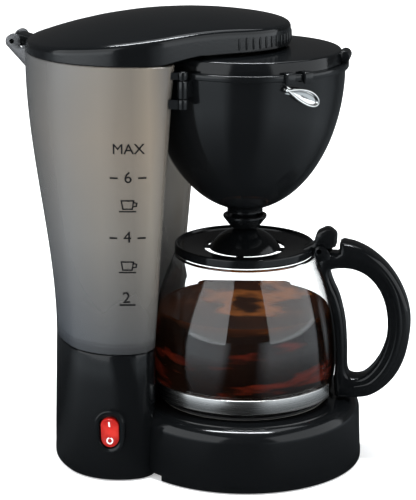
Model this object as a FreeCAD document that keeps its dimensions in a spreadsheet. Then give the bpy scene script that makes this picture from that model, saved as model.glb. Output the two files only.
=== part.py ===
"""Drip coffee maker: a parametric assembly, one object per real piece, in millimetres.

Each piece is drawn about the vertical axis of the round hot plate, which carafe, basket and plate share.
+X points to the carafe's handle, -X to the water tank, -Y to the front with the switch, +Z up.
Every piece's Placement then moves that axis to Dims.axis_x, so that the origin is the middle of the footprint.
"""
import FreeCAD, Part
import math
import os
from types import SimpleNamespace

import Sketcher

Vector = FreeCAD.Vector

DIMENSIONS = {
    # whole machine
    "axis_x": 20.95,
    "wall": 2.5,
    "gap": 0.3,
    # base disc and column
    "base_radius": 75,
    "base_top_radius": 73.2,
    "base_height": 40,
    "base_round": 8.5,
    "skirt_lift": 1.0,
    "column_height": 81,
    "cover_floor": 2,
    "cover_thickness": 2,
    "foot_radius": 7,
    "screw_radius": 3,
    # plan of the tank, which hugs the carafe with a hollow face and widens upwards
    "hollow_radius": 63.5,
    "end_radius": 80,
    "foot_reach": 120.3,
    "foot_half_width": 65.2,
    "seam_reach": 118.4,
    "seam_half_width": 64,
    "seam_side_radius": 36,
    "seam_horn_radius": 16,
    "low_height": 130,
    "low_reach": 121.6,
    "low_half_width": 66.5,
    "low_side_radius": 45,
    "low_horn_radius": 14,
    "mid_height": 200,
    "mid_reach": 131.4,
    "mid_half_width": 71,
    "mid_side_radius": 57,
    "mid_horn_radius": 11.5,
    "rim_height": 257.5,
    "rim_reach": 134.8,
    "rim_half_width": 74,
    "rim_side_radius": 64,
    "rim_horn_radius": 10,
    "tank_wall": 2.2,
    "tank_floor": 86.5,
    # tank lid
    "lid_overhang_height": 262.5,
    "lid_nose_radius": 48,
    "lid_nose_x": -21.5,
    "lid_crown_x": -34,
    "lid_crown_z": 281.5,
    "lid_crown_radius": 285,
    "lid_wall": 2.4,
    "lid_hinge_x": -142,
    "lid_hinge_z": 261.5,
    "hinge_pin_radius": 1.5,
    "running_gap": 0.06,
    # hot plate and water path
    "plate_radius": 51.8,
    "plate_top": 40.6,
    "heater_radius": 34,
    "tube_radius": 4,
    "tube_offset_y": 19.5,
    "heater_line_z": 33,
    "valve_x": -85,
    "riser_x": -96,
    "arm_floor": 262,
    "arm_height": 6,
    # switch
    "switch_x": -73,
    "switch_z": 32.5,
    "switch_pivot_y": -63,
    "bezel_half_width": 9.5,
    "bezel_half_height": 13.8,
    "rocker_half_width": 5.7,
    "rocker_half_height": 9.6,
    "rocker_tilt": 7,
    # brew basket
    "bowl_radius": 60,
    "bowl_rim_z": 249,
    "bowl_depth": 89.5,
    "bowl_wall": 2.2,
    "ring_radius": 62,
    "ring_top": 252.5,
    "basket_hinge_x": -29,
    "basket_hinge_y": -60.1,
    "basket_barrel_radius": 3.1,
    "basket_lid_radius": 58.5,
    "basket_lid_edge_z": 259,
    "basket_lid_crown_z": 261,
    "tab_angle": -51,
    "tab_z": 240.4,
    # drip stop
    "neck_radius": 11,
    "neck_low": 157.8,
    "neck_tube_radius": 7.6,
    "neck_tube_low": 153.9,
    "neck_bore": 5.5,
    "cup_radius": 13.5,
    "cup_top": 155.8,
    "cup_tip_radius": 8.5,
    "cup_tip_z": 147.9,
    "valve_seat_z": 162.6,
    "spring_top": 170.3,
    # carafe
    "glass_wall": 1.8,
    "glass_foot_z": 40.9,
    "glass_foot_radius": 49,
    "glass_corner_radius": 9,
    "glass_low_radius": 56.6,
    "glass_low_z": 50,
    "glass_radius": 58,
    "glass_wide_z": 68,
    "glass_neck_radius": 45.5,
    "glass_neck_z": 126,
    "glass_lip_radius": 43.5,
    "glass_lip_z": 131.8,
    "band_low": 45,
    "band_top": 54,
    "handle_width": 18,
    "lid_rim_radius": 43.5,
    "lid_rim_low": 132.2,
    "lid_rim_top": 138,
    "lid_hole_radius": 25,
    "lid_floor_z": 135,
    "dome_radius": 22,
    "dome_top": 147.5,
    "carafe_hinge_x": 47,
    "carafe_hinge_z": 136,
}


class Size:
    """A number that also carries the spreadsheet expression that it comes from."""

    def __init__(self, value, text):
        self.value = float(value)
        self.text = text

    def __add__(self, other):
        other = as_size(other)
        return Size(self.value + other.value, "(%s + %s)" % (self.text, other.text))

    def __sub__(self, other):
        other = as_size(other)
        return Size(self.value - other.value, "(%s - %s)" % (self.text, other.text))

    def __mul__(self, other):
        other = as_size(other)
        return Size(self.value * other.value, "(%s * %s)" % (self.text, other.text))

    def __truediv__(self, other):
        other = as_size(other)
        return Size(self.value / other.value, "(%s / %s)" % (self.text, other.text))

    def __neg__(self):
        return as_size(0) - self

    __radd__ = __add__
    __rmul__ = __mul__


def as_size(number):
    """Wrap a bare number, and leave a Size as it is."""
    if isinstance(number, Size):
        return number
    return Size(number, "(%r)" % float(number))


doc = FreeCAD.newDocument("DripCoffeeMaker")
sheet = doc.addObject("Spreadsheet::Sheet", "Dims")
for row, (alias, amount) in enumerate(DIMENSIONS.items(), start=1):
    sheet.set("A%d" % row, alias)
    sheet.set("B%d" % row, str(amount))
    sheet.setAlias("B%d" % row, alias)
doc.recompute()
D = SimpleNamespace(**{alias: Size(amount, "Dims." + alias) for alias, amount in DIMENSIONS.items()})


# ---------------------------------------------------------------- helpers

def bind(item, prop, number):
    """Bind a property to an expression of the sheet's cells."""
    item.setExpression(prop, as_size(number).text)


def new_body(label):
    """A PartDesign body whose Placement puts the plate's axis where it belongs."""
    body = doc.addObject("PartDesign::Body", label)
    body.Label = label
    bind(body, "Placement.Base.x", D.axis_x)
    return body


def new_sketch(body, role, offset=0):
    """A sketch on one of the body's own origin planes, lifted off it by an offset."""
    sketch = body.newObject("Sketcher::SketchObject", body.Label + "_sketch")
    plane = [item for item in body.Origin.OriginFeatures if item.Role == role][0]
    sketch.AttachmentSupport = [(plane, "")]
    sketch.MapMode = "FlatFace"
    bind(sketch, "AttachmentOffset.Base.z", offset)
    return sketch


def add_constraint(sketch, kind, *arguments):
    """Add a constraint; a Size as the last argument is bound to the sheet."""
    if isinstance(arguments[-1], Size):
        index = sketch.addConstraint(Sketcher.Constraint(kind, *arguments[:-1], arguments[-1].value))
        sketch.setExpression("Constraints[%d]" % index, arguments[-1].text)
    else:
        sketch.addConstraint(Sketcher.Constraint(kind, *arguments))


def end_at(sketch, edge, point):
    """Which end of an edge, 1 or 2, lies at a point."""
    return min((1, 2), key=lambda end: (sketch.getPoint(edge, end) - point).Length)


def trace(sketch, corners):
    """Draw a closed outline through corners (x, y) or (x, y, radius).

    The edge that arrives at a corner with a radius is an arc: it bulges to the left of travel for a positive
    radius and to the right for a negative one.
    """
    spots = [Vector(as_size(c[0]).value, as_size(c[1]).value, 0) for c in corners]
    edges = []
    for index, corner in enumerate(corners):
        start, end = spots[index - 1], spots[index]
        if len(corner) == 2:
            edges.append(sketch.addGeometry(Part.LineSegment(start, end), False))
            continue
        radius = as_size(corner[2])
        chord = end - start
        sagitta = abs(radius.value) - math.sqrt(max(radius.value ** 2 - (chord.Length / 2) ** 2, 0))
        left = Vector(-chord.y, chord.x, 0).normalize()
        middle = (start + end) / 2 + left * math.copysign(sagitta, radius.value)
        edges.append(sketch.addGeometry(Part.Arc(start, middle, end), False))
        if sagitta < abs(radius.value) * 0.999:
            add_constraint(sketch, "Radius", edges[-1], radius if radius.value > 0 else -radius)
    for index, corner in enumerate(corners):
        arriving, leaving = edges[index], edges[(index + 1) % len(edges)]
        arriving_end = end_at(sketch, arriving, spots[index])
        leaving_end = end_at(sketch, leaving, spots[index])
        add_constraint(sketch, "Coincident", arriving, arriving_end, leaving, leaving_end)
        add_constraint(sketch, "DistanceX", -1, 1, arriving, arriving_end, as_size(corner[0]))
        add_constraint(sketch, "DistanceY", -1, 1, arriving, arriving_end, as_size(corner[1]))


def stadium(x, y, half_width, half_height):
    """Corners of an upright outline with two straight sides and round ends."""
    x, y, round_end = as_size(x), as_size(y), as_size(half_width)
    straight = as_size(half_height) - round_end
    return [(x - round_end, y - straight, round_end), (x - round_end, y + straight),
            (x, y + half_height, round_end), (x + round_end, y + straight, round_end),
            (x + round_end, y - straight), (x, y - half_height, round_end)]


def rectangle(low_x, high_x, low_y, high_y):
    """Corners of a rectangle."""
    return [(low_x, low_y), (high_x, low_y), (high_x, high_y), (low_x, high_y)]


def turn(body, corners, cut=False, angle=360):
    """Turn an outline in the XZ plane about the vertical axis, as material or as a groove."""
    sketch = new_sketch(body, "XZ_Plane")
    trace(sketch, corners)
    kind = "PartDesign::Groove" if cut else "PartDesign::Revolution"
    feature = body.newObject(kind, body.Label + ("_groove" if cut else "_turned"))
    feature.Profile = sketch
    feature.ReferenceAxis = (sketch, ["V_Axis"])
    feature.Angle = angle
    feature.Midplane = angle != 360
    return feature


def extrude(body, role, corners, low, high, cut=False):
    """Extrude an outline between two offsets of one of the body's planes."""
    low, high = as_size(low), as_size(high)
    sketch = new_sketch(body, role, (low + high) / 2)
    trace(sketch, corners)
    feature = body.newObject("PartDesign::Pocket" if cut else "PartDesign::Pad", body.Label + "_extruded")
    feature.Profile = sketch
    feature.Midplane = True
    bind(feature, "Length", high - low)
    return feature


def cylinder(body, radius, low, high, x=0, y=0, z=0, along="Z", cut=False):
    """A round bar or hole along X, Y or Z, from low to high on that axis, through the point given by the rest."""
    kind = "PartDesign::SubtractiveCylinder" if cut else "PartDesign::AdditiveCylinder"
    feature = body.newObject(kind, body.Label + "_round")
    low, high = as_size(low), as_size(high)
    bind(feature, "Radius", radius)
    bind(feature, "Height", high - low)
    turned = {"X": FreeCAD.Rotation(Vector(0, 1, 0), 90), "Y": FreeCAD.Rotation(Vector(1, 0, 0), -90),
              "Z": FreeCAD.Rotation()}[along]
    feature.Placement = FreeCAD.Placement(Vector(), turned)
    spot = {"x": as_size(x), "y": as_size(y), "z": as_size(z)}
    spot[along.lower()] = low
    for axis, place in spot.items():
        bind(feature, "Placement.Base." + axis, place)
    return feature


def block(body, low, high, cut=False):
    """A box between two corners, as material or as a cut."""
    kind = "PartDesign::SubtractiveBox" if cut else "PartDesign::AdditiveBox"
    feature = body.newObject(kind, body.Label + "_block")
    low = [as_size(value) for value in low]
    high = [as_size(value) for value in high]
    for prop, start, end in zip(("Length", "Width", "Height"), low, high):
        bind(feature, prop, end - start)
    for axis, start in zip("xyz", low):
        bind(feature, "Placement.Base." + axis, start)
    return feature


def plan_circles(section, inset):
    """Centres and radii of the round stretches of the tank's plan, on its +Y half."""
    hollow = D.hollow_radius.value + inset
    end = D.end_radius.value - inset
    side = section.side.value - inset
    horn = section.horn.value - inset
    end_x = -(section.reach.value - inset - end)
    side_y = section.half_width.value - inset - side
    side_x = end_x - math.sqrt((end - side) ** 2 - side_y ** 2)
    reach = math.hypot(side_x, side_y)
    along = ((hollow + horn) ** 2 - (side - horn) ** 2 + reach ** 2) / (2 * reach)
    across = math.sqrt((hollow + horn) ** 2 - along ** 2)
    unit_x, unit_y = side_x / reach, side_y / reach
    horn_x = along * unit_x + across * unit_y
    horn_y = along * unit_y - across * unit_x
    return SimpleNamespace(hollow=hollow, end=end, side=side, horn=horn, end_at=Vector(end_x, 0, 0),
                           side_at=Vector(side_x, side_y, 0), horn_at=Vector(horn_x, horn_y, 0))


def touch(centre, radius, other):
    """The point of a circle nearest to, or farthest from, another circle's centre, where the two are tangent."""
    return centre + (centre - other).normalize() * radius


def arc_between(centre, start, end):
    """The short arc about a centre from one point to another."""
    middle = (start - centre) + (end - centre)
    return Part.Arc(start, centre + middle.normalize() * (start - centre).Length, end)


def mirrored(point):
    return Vector(point.x, -point.y, 0)


def tangent_chain(sketch, edges, joins):
    """Make neighbouring edges of a closed chain meet smoothly."""
    for index, join in enumerate(joins):
        first, second = edges[index], edges[(index + 1) % len(edges)]
        add_constraint(sketch, "Tangent", first, end_at(sketch, first, join), second, end_at(sketch, second, join))


def plan_sketch(body, section, inset=0):
    """Outline of the tank in plan: hollow face, two round horns, two sides and the outer end, all tangent."""
    sketch = new_sketch(body, "XY_Plane", section.height)
    plan = plan_circles(section, as_size(inset).value)
    horn_in = touch(Vector(), plan.hollow, -plan.horn_at)
    horn_out = touch(plan.side_at, plan.side, plan.side_at * 2 - plan.horn_at)
    side_out = touch(plan.end_at, plan.end, plan.end_at * 2 - plan.side_at)
    arcs = [
        Part.Arc(mirrored(horn_in), Vector(-plan.hollow, 0, 0), horn_in),
        arc_between(plan.horn_at, horn_in, horn_out),
        arc_between(plan.side_at, horn_out, side_out),
        Part.Arc(side_out, Vector(plan.end_at.x - plan.end, 0, 0), mirrored(side_out)),
        arc_between(mirrored(plan.side_at), mirrored(side_out), mirrored(horn_out)),
        arc_between(mirrored(plan.horn_at), mirrored(horn_out), mirrored(horn_in)),
    ]
    edges = [sketch.addGeometry(arc, False) for arc in arcs]
    joins = [horn_in, horn_out, side_out, mirrored(side_out), mirrored(horn_out), mirrored(horn_in)]
    tangent_chain(sketch, edges, joins)
    inner, horn, side, end, far_side, far_horn = edges
    add_constraint(sketch, "Coincident", inner, 3, -1, 1)
    add_constraint(sketch, "Radius", inner, D.hollow_radius + inset)
    add_constraint(sketch, "Radius", end, D.end_radius - inset)
    add_constraint(sketch, "PointOnObject", end, 3, -1)
    add_constraint(sketch, "DistanceX", -1, 1, end, 3, D.end_radius - section.reach)
    for near, tip, sign in ((side, horn, 1), (far_side, far_horn, -1)):
        add_constraint(sketch, "Radius", near, section.side - inset)
        add_constraint(sketch, "Radius", tip, section.horn - inset)
        add_constraint(sketch, "DistanceY", -1, 1, near, 3, (section.half_width - section.side) * sign)
    return sketch


def loft(body, sections, inset=0, cut=False):
    """Loft the tank's plan through several heights."""
    sketches = [plan_sketch(body, section, inset) for section in sections]
    kind = "PartDesign::SubtractiveLoft" if cut else "PartDesign::AdditiveLoft"
    feature = body.newObject(kind, body.Label + "_loft")
    feature.Profile = sketches[0]
    feature.Sections = sketches[1:]
    feature.Ruled = False
    return feature


def section_at(height, reach, half_width, side, horn):
    return SimpleNamespace(height=as_size(height), reach=reach, half_width=half_width, side=side, horn=horn)


FOOT = section_at(D.skirt_lift, D.foot_reach, D.foot_half_width, D.seam_side_radius, D.seam_horn_radius)
SEAM = section_at(D.column_height, D.seam_reach, D.seam_half_width, D.seam_side_radius, D.seam_horn_radius)
LOW = section_at(D.low_height, D.low_reach, D.low_half_width, D.low_side_radius, D.low_horn_radius)
MID = section_at(D.mid_height, D.mid_reach, D.mid_half_width, D.mid_side_radius, D.mid_horn_radius)
RIM = section_at(D.rim_height, D.rim_reach, D.rim_half_width, D.rim_side_radius, D.rim_horn_radius)


def raised(section, height):
    """The same plan at another height."""
    return section_at(height, section.reach, section.half_width, section.side, section.horn)


# ---------------------------------------------------------------- base

FEET = [(-95, -38), (-95, 38), (45, -45), (45, 45)]
SCREWS = [(-105, 0), (-45, -45), (-45, 45), (62, 0)]


def base_housing():
    """Glossy shell: a round warming base with the tank's column grown out of it, open underneath."""
    body = new_body("base_housing")
    loft(body, [FOOT, SEAM])
    low, top = D.skirt_lift, D.base_height
    turn(body, [(0, low), (D.base_radius, low), (D.base_top_radius, top - D.base_round),
                (D.base_top_radius - D.base_round, top, -D.base_round), (0, top)])
    doc.recompute()
    loft(body, [raised(FOOT, 0), raised(SEAM, D.column_height - D.wall)], D.wall, cut=True)
    inside = D.base_top_radius - D.wall
    turn(body, [(0, 0), (inside, 0), (inside, top - D.base_round), (inside - D.base_round, top - D.wall),
                (0, top - D.wall)], cut=True)
    turn(body, [(0, top - D.wall - 1), (D.plate_radius - 4, top - D.wall - 1), (D.plate_radius - 4, top - 1.2),
                (D.plate_radius + 0.2, top - 1.2), (D.plate_radius + 0.2, top + 1), (0, top + 1)], cut=True)
    extrude(body, "XZ_Plane", stadium(D.switch_x, D.switch_z, D.bezel_half_width, D.bezel_half_height), 50, 80, cut=True)
    block(body, (-72, -26, 10), (-50, 26, D.base_height - 2), cut=True)
    cylinder(body, 5, 70, D.column_height + 1, x=D.valve_x, y=-D.tube_offset_y, cut=True)
    cylinder(body, D.tube_radius, 70, D.column_height + 1, x=D.riser_x, y=D.tube_offset_y, cut=True)
    cylinder(body, 4.4, 50, 80, x=D.switch_x, z=16, along="Y", cut=True)


def bottom_cover():
    """Flat cover that closes the housing from below."""
    body = new_body("bottom_cover")
    low, high = D.cover_floor, D.cover_floor + D.cover_thickness
    inset = D.wall + 0.3
    sketch = plan_sketch(body, raised(SEAM, low), inset)
    pad = body.newObject("PartDesign::Pad", "bottom_cover_pad")
    pad.Profile = sketch
    bind(pad, "Length", D.cover_thickness)
    cylinder(body, D.base_top_radius - D.wall - 0.4, low, high)
    for x, y in SCREWS:
        cylinder(body, D.screw_radius - 1, 0, 10, x=x, y=y, cut=True)


def feet_and_screws():
    """Four rubber feet and four screws in the cover."""
    for number, (x, y) in enumerate(FEET, start=1):
        cylinder(new_body("foot_%d" % number), D.foot_radius, 0, D.cover_floor, x=x, y=y)
    for number, (x, y) in enumerate(SCREWS, start=1):
        body = new_body("cover_screw_%d" % number)
        cylinder(body, D.screw_radius, D.cover_floor - 1.2, D.cover_floor, x=x, y=y)
        cylinder(body, D.screw_radius - 1, D.cover_floor, 10, x=x, y=y)


def warmer():
    """Hot plate, its seal, and the horseshoe heater clamped under it."""
    seal_low, seal_top = D.base_height - 1.2, D.base_height - 0.6
    turn(new_body("plate_seal"), rectangle(D.plate_radius - 4, D.plate_radius, seal_low, seal_top))
    plate = new_body("warmer_plate")
    turn(plate, [(2, seal_top), (D.plate_radius, seal_top), (D.plate_radius, D.plate_top - 0.4),
                 (D.plate_radius - 0.8, D.plate_top, -0.9), (0, D.plate_top), (0, seal_top - 1), (2, seal_top - 1)])
    turn(plate, rectangle(2, 5, D.heater_line_z - 2, seal_top))
    heater = new_body("heating_element")
    half = as_size(6)
    turn(heater, rectangle(D.heater_radius - half, D.heater_radius + half, D.heater_line_z - 5, seal_top), angle=290)
    for side in (-1, 1):
        cylinder(heater, 2.8, D.valve_x + 45, D.valve_x + 62, y=D.tube_offset_y * side, z=D.heater_line_z, along="X")
    clamp = new_body("heater_clamp")
    bar_low, bar_top = D.heater_line_z - 6.6, D.heater_line_z - 5
    block(clamp, (-5, -42, bar_low), (5, 42, bar_top))
    cylinder(clamp, 2, bar_low - 1, bar_top + 1, cut=True)
    screw = new_body("clamp_screw")
    cylinder(screw, 4, bar_low - 2.4, bar_low)
    cylinder(screw, 2, bar_low, seal_top - 2)
    cylinder(new_body("thermostat"), 8, D.heater_line_z - 12, D.heater_line_z - 5, x=D.heater_radius)
    cylinder(new_body("thermal_fuse"), 2, 8, 26, z=D.heater_line_z - 7, y=29, along="X")


def pipe(label, corners, y, radius, bore):
    """A bent tube in an upright plane, from a vertical end to a horizontal one."""
    body = new_body(label)
    (x, top), (bend_x, level, bend), (end_x, _) = corners
    spine = new_sketch(body, "XZ_Plane", -as_size(y))
    start, turn_in = Vector(x.value, top.value, 0), Vector(x.value, level.value + bend, 0)
    turn_out, end = Vector(x.value + bend, level.value, 0), Vector(end_x.value, level.value, 0)
    centre = Vector(x.value + bend, level.value + bend, 0)
    edges = [spine.addGeometry(Part.LineSegment(start, turn_in), False),
             spine.addGeometry(arc_between(centre, turn_in, turn_out), False),
             spine.addGeometry(Part.LineSegment(turn_out, end), False)]
    add_constraint(spine, "Tangent", edges[0], 2, edges[1], end_at(spine, edges[1], turn_in))
    add_constraint(spine, "Tangent", edges[1], end_at(spine, edges[1], turn_out), edges[2], 1)
    add_constraint(spine, "Vertical", edges[0])
    add_constraint(spine, "Horizontal", edges[2])
    add_constraint(spine, "DistanceX", -1, 1, edges[0], 1, x)
    add_constraint(spine, "DistanceY", -1, 1, edges[0], 1, top)
    add_constraint(spine, "DistanceX", -1, 1, edges[2], 2, end_x)
    add_constraint(spine, "DistanceY", -1, 1, edges[2], 2, level)
    add_constraint(spine, "Radius", edges[1], as_size(bend))
    profile = new_sketch(body, "XY_Plane", top)
    for size in (radius, bore):
        ring = profile.addGeometry(Part.Circle(Vector(x.value, as_size(y).value, 0), Vector(0, 0, 1),
                                               as_size(size).value), False)
        add_constraint(profile, "Radius", ring, as_size(size))
        add_constraint(profile, "DistanceX", -1, 1, ring, 3, x)
        add_constraint(profile, "DistanceY", -1, 1, ring, 3, as_size(y))
    feature = body.newObject("PartDesign::AdditivePipe", label + "_pipe")
    feature.Profile = profile
    feature.Spine = spine
    return body


def water_path():
    """Inlet valve in the tank's floor, the tubes to and from the heater, and the arm that drips over the basket."""
    valve = new_body("inlet_valve")
    turn(valve, [(3, D.column_height - 15), (5, D.column_height - 15), (5, D.tank_floor), (8, D.tank_floor),
                 (8, D.tank_floor + 2), (3, D.tank_floor + 2)])
    doc.recompute()
    valve.Placement.Base = Vector(0, 0, 0)
    bind(valve, "Placement.Base.x", D.axis_x + D.valve_x)
    bind(valve, "Placement.Base.y", -D.tube_offset_y)
    level = D.heater_line_z
    end_x = D.valve_x + 48
    pipe("inlet_tube", [(D.valve_x, D.column_height - 15), (D.valve_x, level, 12), (end_x, level)],
         -D.tube_offset_y, D.tube_radius + 0.3, 2.8)
    pipe("riser_tube", [(D.riser_x, D.arm_floor + 2), (D.riser_x, level, 12), (end_x, level)],
         D.tube_offset_y, D.tube_radius, 2.8)
    arm = new_body("outlet_arm")
    low, high = D.arm_floor, D.arm_floor + D.arm_height
    cylinder(arm, 8.5, low, high)
    cylinder(arm, 8.5, low, high, x=D.riser_x, y=D.tube_offset_y)
    riser_y = D.tube_offset_y
    extrude(arm, "XY_Plane", [(0, -7), (0, 7), (D.riser_x, riser_y + 7), (D.riser_x, riser_y - 7)], low, high)
    cylinder(arm, D.tube_radius, low - 1, low + 2, x=D.riser_x, y=D.tube_offset_y, cut=True)
    cylinder(arm, 2.5, low - 1, low + 3, cut=True)
    block(arm, (-66, 6, D.rim_height), (-61, 16, low))


# ---------------------------------------------------------------- switch

def switch():
    """Oval switch: a bezel that lines its hole in the housing, and a rocker on two pins."""
    bezel = new_body("switch_bezel")
    x, z, pivot = D.switch_x, D.switch_z, D.switch_pivot_y
    half_width, half_height = D.bezel_half_width, D.bezel_half_height
    front, back = as_size(46), as_size(67)
    extrude(bezel, "XZ_Plane", stadium(x, z, half_width, half_height), 62, back)
    extrude(bezel, "XZ_Plane", stadium(x, z, half_width - 1, half_height - 1), front, 63)
    doc.recompute()
    extrude(bezel, "XZ_Plane", stadium(x, z, D.rocker_half_width + 0.4, D.rocker_half_height + 1), front + 2,
            back + 1, cut=True)
    pin = as_size(1.2)
    cylinder(bezel, pin + D.running_gap, x - 7.4, x + 7.4, y=pivot, z=z, along="X", cut=True)
    rocker = new_body("switch_rocker")
    width = D.rocker_half_width
    extrude(rocker, "XZ_Plane", stadium(0, 0, width, D.rocker_half_height), 0, 12)
    extrude(rocker, "YZ_Plane", [(-13, -10), (-11.5, -10), (-8.6, 0), (-11.5, 10), (-13, 10)], -8, 8, cut=True)
    for side in (-1, 1):
        extrude(rocker, "YZ_Plane", [(1, 5 * side), (1, 11 * side), (-4, 11 * side)], -8, 8, cut=True)
    cylinder(rocker, pin, -7.1, 7.1, y=-6, along="X")
    doc.recompute()
    rocker.Placement = FreeCAD.Placement(Vector(), FreeCAD.Rotation(Vector(1, 0, 0), D.rocker_tilt.value))
    tilt = D.rocker_tilt.text
    bind(rocker, "Placement.Base.x", D.axis_x + x)
    rocker.setExpression("Placement.Base.y", "%s + 6 * cos(%s)" % (pivot.text, tilt))
    rocker.setExpression("Placement.Base.z", "%s + 6 * sin(%s)" % (z.text, tilt))


# ---------------------------------------------------------------- tank and its lid

def water_tank():
    """Smoked tank with a hollow face towards the carafe, ears for the lid's pin and ears for the basket's pin."""
    tank = new_body("water_tank")
    loft(tank, [SEAM, LOW, MID, RIM])
    doc.recompute()
    loft(tank, [raised(SEAM, D.tank_floor), LOW, MID, RIM, raised(RIM, D.rim_height + 6)], D.tank_wall, cut=True)
    cylinder(tank, 5, D.column_height - 1, D.tank_floor + 1, x=D.valve_x, y=-D.tube_offset_y, cut=True)
    cylinder(tank, D.tube_radius, D.column_height - 1, D.tank_floor + 1, x=D.riser_x, y=D.tube_offset_y, cut=True)
    x, z, round_end = D.lid_hinge_x, D.lid_hinge_z, as_size(4)
    wall_x = -D.rim_reach + 1.5
    for low, high in ((-14, -8), (8, 14)):
        extrude(tank, "XZ_Plane", [(wall_x, 246), (wall_x, D.rim_height - 0.5), (x + round_end, D.rim_height - 0.5),
                                   (x + round_end, z), (x, z + round_end, -round_end),
                                   (x - round_end, z, -round_end)], low, high)
    cylinder(tank, D.hinge_pin_radius, -20, 20, x=x, z=z, along="Y", cut=True)
    hinge_x, hinge_y, barrel = D.basket_hinge_x, D.basket_hinge_y, D.basket_barrel_radius
    for low, high in ((232, 238), (D.bowl_rim_z + 0.3, 254)):
        block(tank, (hinge_x - 8, hinge_y - barrel, low), (hinge_x, hinge_y + barrel, high))
        cylinder(tank, barrel, low, high, x=hinge_x, y=hinge_y)
    cylinder(tank, D.hinge_pin_radius, 231, 255, x=hinge_x, y=hinge_y, cut=True)
    cylinder(new_body("basket_hinge_pin"), D.hinge_pin_radius, 232, 254, x=hinge_x, y=hinge_y)
    cylinder(new_body("lid_hinge_pin"), D.hinge_pin_radius, -14, 14, x=x, z=z, along="Y")


def lid_plan(body, low, high, inset):
    """Pad of the lid's plan: the tank's outer end run out to a round nose over the basket."""
    sketch = new_sketch(body, "XY_Plane", low)
    plan = plan_circles(RIM, as_size(inset).value)
    nose_at = Vector(D.lid_nose_x.value, 0, 0)
    nose = D.lid_nose_radius.value - as_size(inset).value
    side_out = touch(plan.end_at, plan.end, plan.end_at * 2 - plan.side_at)
    span = nose_at - plan.side_at
    lean = math.atan2(span.y, span.x) + math.acos((plan.side - nose) / span.Length)
    normal = Vector(math.cos(lean), math.sin(lean), 0)
    shoulder, cheek = plan.side_at + normal * plan.side, nose_at + normal * nose
    edges = [
        Part.Arc(side_out, Vector(plan.end_at.x - plan.end, 0, 0), mirrored(side_out)),
        arc_between(mirrored(plan.side_at), mirrored(side_out), mirrored(shoulder)),
        Part.LineSegment(mirrored(shoulder), mirrored(cheek)),
        Part.Arc(mirrored(cheek), nose_at + Vector(nose, 0, 0), cheek),
        Part.LineSegment(cheek, shoulder),
        arc_between(plan.side_at, shoulder, side_out),
    ]
    end, far_side, far_line, tip, line, side = edges = [sketch.addGeometry(edge, False) for edge in edges]
    tangent_chain(sketch, edges, [mirrored(side_out), mirrored(shoulder), mirrored(cheek), cheek, shoulder, side_out])
    add_constraint(sketch, "Radius", end, D.end_radius - inset)
    add_constraint(sketch, "PointOnObject", end, 3, -1)
    add_constraint(sketch, "DistanceX", -1, 1, end, 3, D.end_radius - D.rim_reach)
    add_constraint(sketch, "Radius", tip, D.lid_nose_radius - inset)
    add_constraint(sketch, "PointOnObject", tip, 3, -1)
    add_constraint(sketch, "DistanceX", -1, 1, tip, 3, D.lid_nose_x)
    for edge, sign in ((side, 1), (far_side, -1)):
        add_constraint(sketch, "Radius", edge, D.rim_side_radius - inset)
        add_constraint(sketch, "DistanceY", -1, 1, edge, 3, (D.rim_half_width - D.rim_side_radius) * sign)
    pad = body.newObject("PartDesign::Pad", body.Label + "_pad")
    pad.Profile = sketch
    bind(pad, "Length", as_size(high) - low)
    return body


def crowned(label, low, inset):
    """The lid's plan cut off by a large sphere: its crowned top."""
    plan = lid_plan(doc.addObject("PartDesign::Body", label + "_plan"), low, D.lid_crown_z + 5, inset)
    ball = doc.addObject("Part::Sphere", label + "_ball")
    bind(ball, "Radius", D.lid_crown_radius - inset)
    bind(ball, "Placement.Base.x", D.lid_crown_x)
    bind(ball, "Placement.Base.z", D.lid_crown_z - D.lid_crown_radius)
    common = doc.addObject("Part::Common", label)
    common.Base, common.Tool = plan, ball
    return common


def tank_lid():
    """Crowned lid of tank and outlet arm, with a raised nose over the basket, a grip of ribs and a hinge knuckle."""
    outer = crowned("lid_outer", D.rim_height + D.gap, 0)
    inner = crowned("lid_inner", D.rim_height - 5, D.lid_wall)
    shell = doc.addObject("Part::Cut", "lid_shell")
    shell.Base, shell.Tool = outer, inner
    under_nose = doc.addObject("Part::Box", "lid_under_nose")
    bind(under_nose, "Length", 100)
    bind(under_nose, "Width", 160)
    bind(under_nose, "Height", D.lid_overhang_height - D.rim_height + 5)
    bind(under_nose, "Placement.Base.x", -34)
    bind(under_nose, "Placement.Base.y", -80)
    bind(under_nose, "Placement.Base.z", D.rim_height - 5)
    open_nose = doc.addObject("Part::Cut", "lid_open_nose")
    open_nose.Base, open_nose.Tool = shell, under_nose
    knuckle = doc.addObject("PartDesign::Body", "lid_knuckle")
    x, z, round_end = D.lid_hinge_x, D.lid_hinge_z, as_size(4)
    wall_x = -D.rim_reach + 2
    extrude(knuckle, "XZ_Plane", [(x, z - round_end, -round_end), (wall_x, D.rim_height + 1),
                                  (wall_x, D.rim_height + 6), (x, z + round_end),
                                  (x - round_end, z, -round_end)], -7.7, 7.7)
    cylinder(knuckle, D.hinge_pin_radius + D.running_gap, -9, 9, x=x, z=z, along="Y", cut=True)
    lid = doc.addObject("Part::Fuse", "tank_lid")
    lid.Label = "tank_lid"
    lid.Base, lid.Tool = open_nose, knuckle
    bind(lid, "Placement.Base.x", D.axis_x)


# ---------------------------------------------------------------- brew basket

def half_ellipsoid(name, radius, depth):
    """Lower half of an ellipsoid under the bowl's rim."""
    half = doc.addObject("Part::Ellipsoid", name)
    bind(half, "Radius1", depth)
    bind(half, "Radius2", radius)
    bind(half, "Radius3", radius)
    half.Angle2 = 0
    bind(half, "Placement.Base.z", D.bowl_rim_z)
    return half


def fused(name, shapes, cut=None):
    """Join shapes, less one if given."""
    joined = doc.addObject("Part::MultiFuse", name + "_joined")
    joined.Shapes = shapes
    result = doc.addObject("Part::Cut", name)
    result.Base, result.Tool = joined, cut
    result.Label = name
    bind(result, "Placement.Base.x", D.axis_x)
    return result


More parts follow.
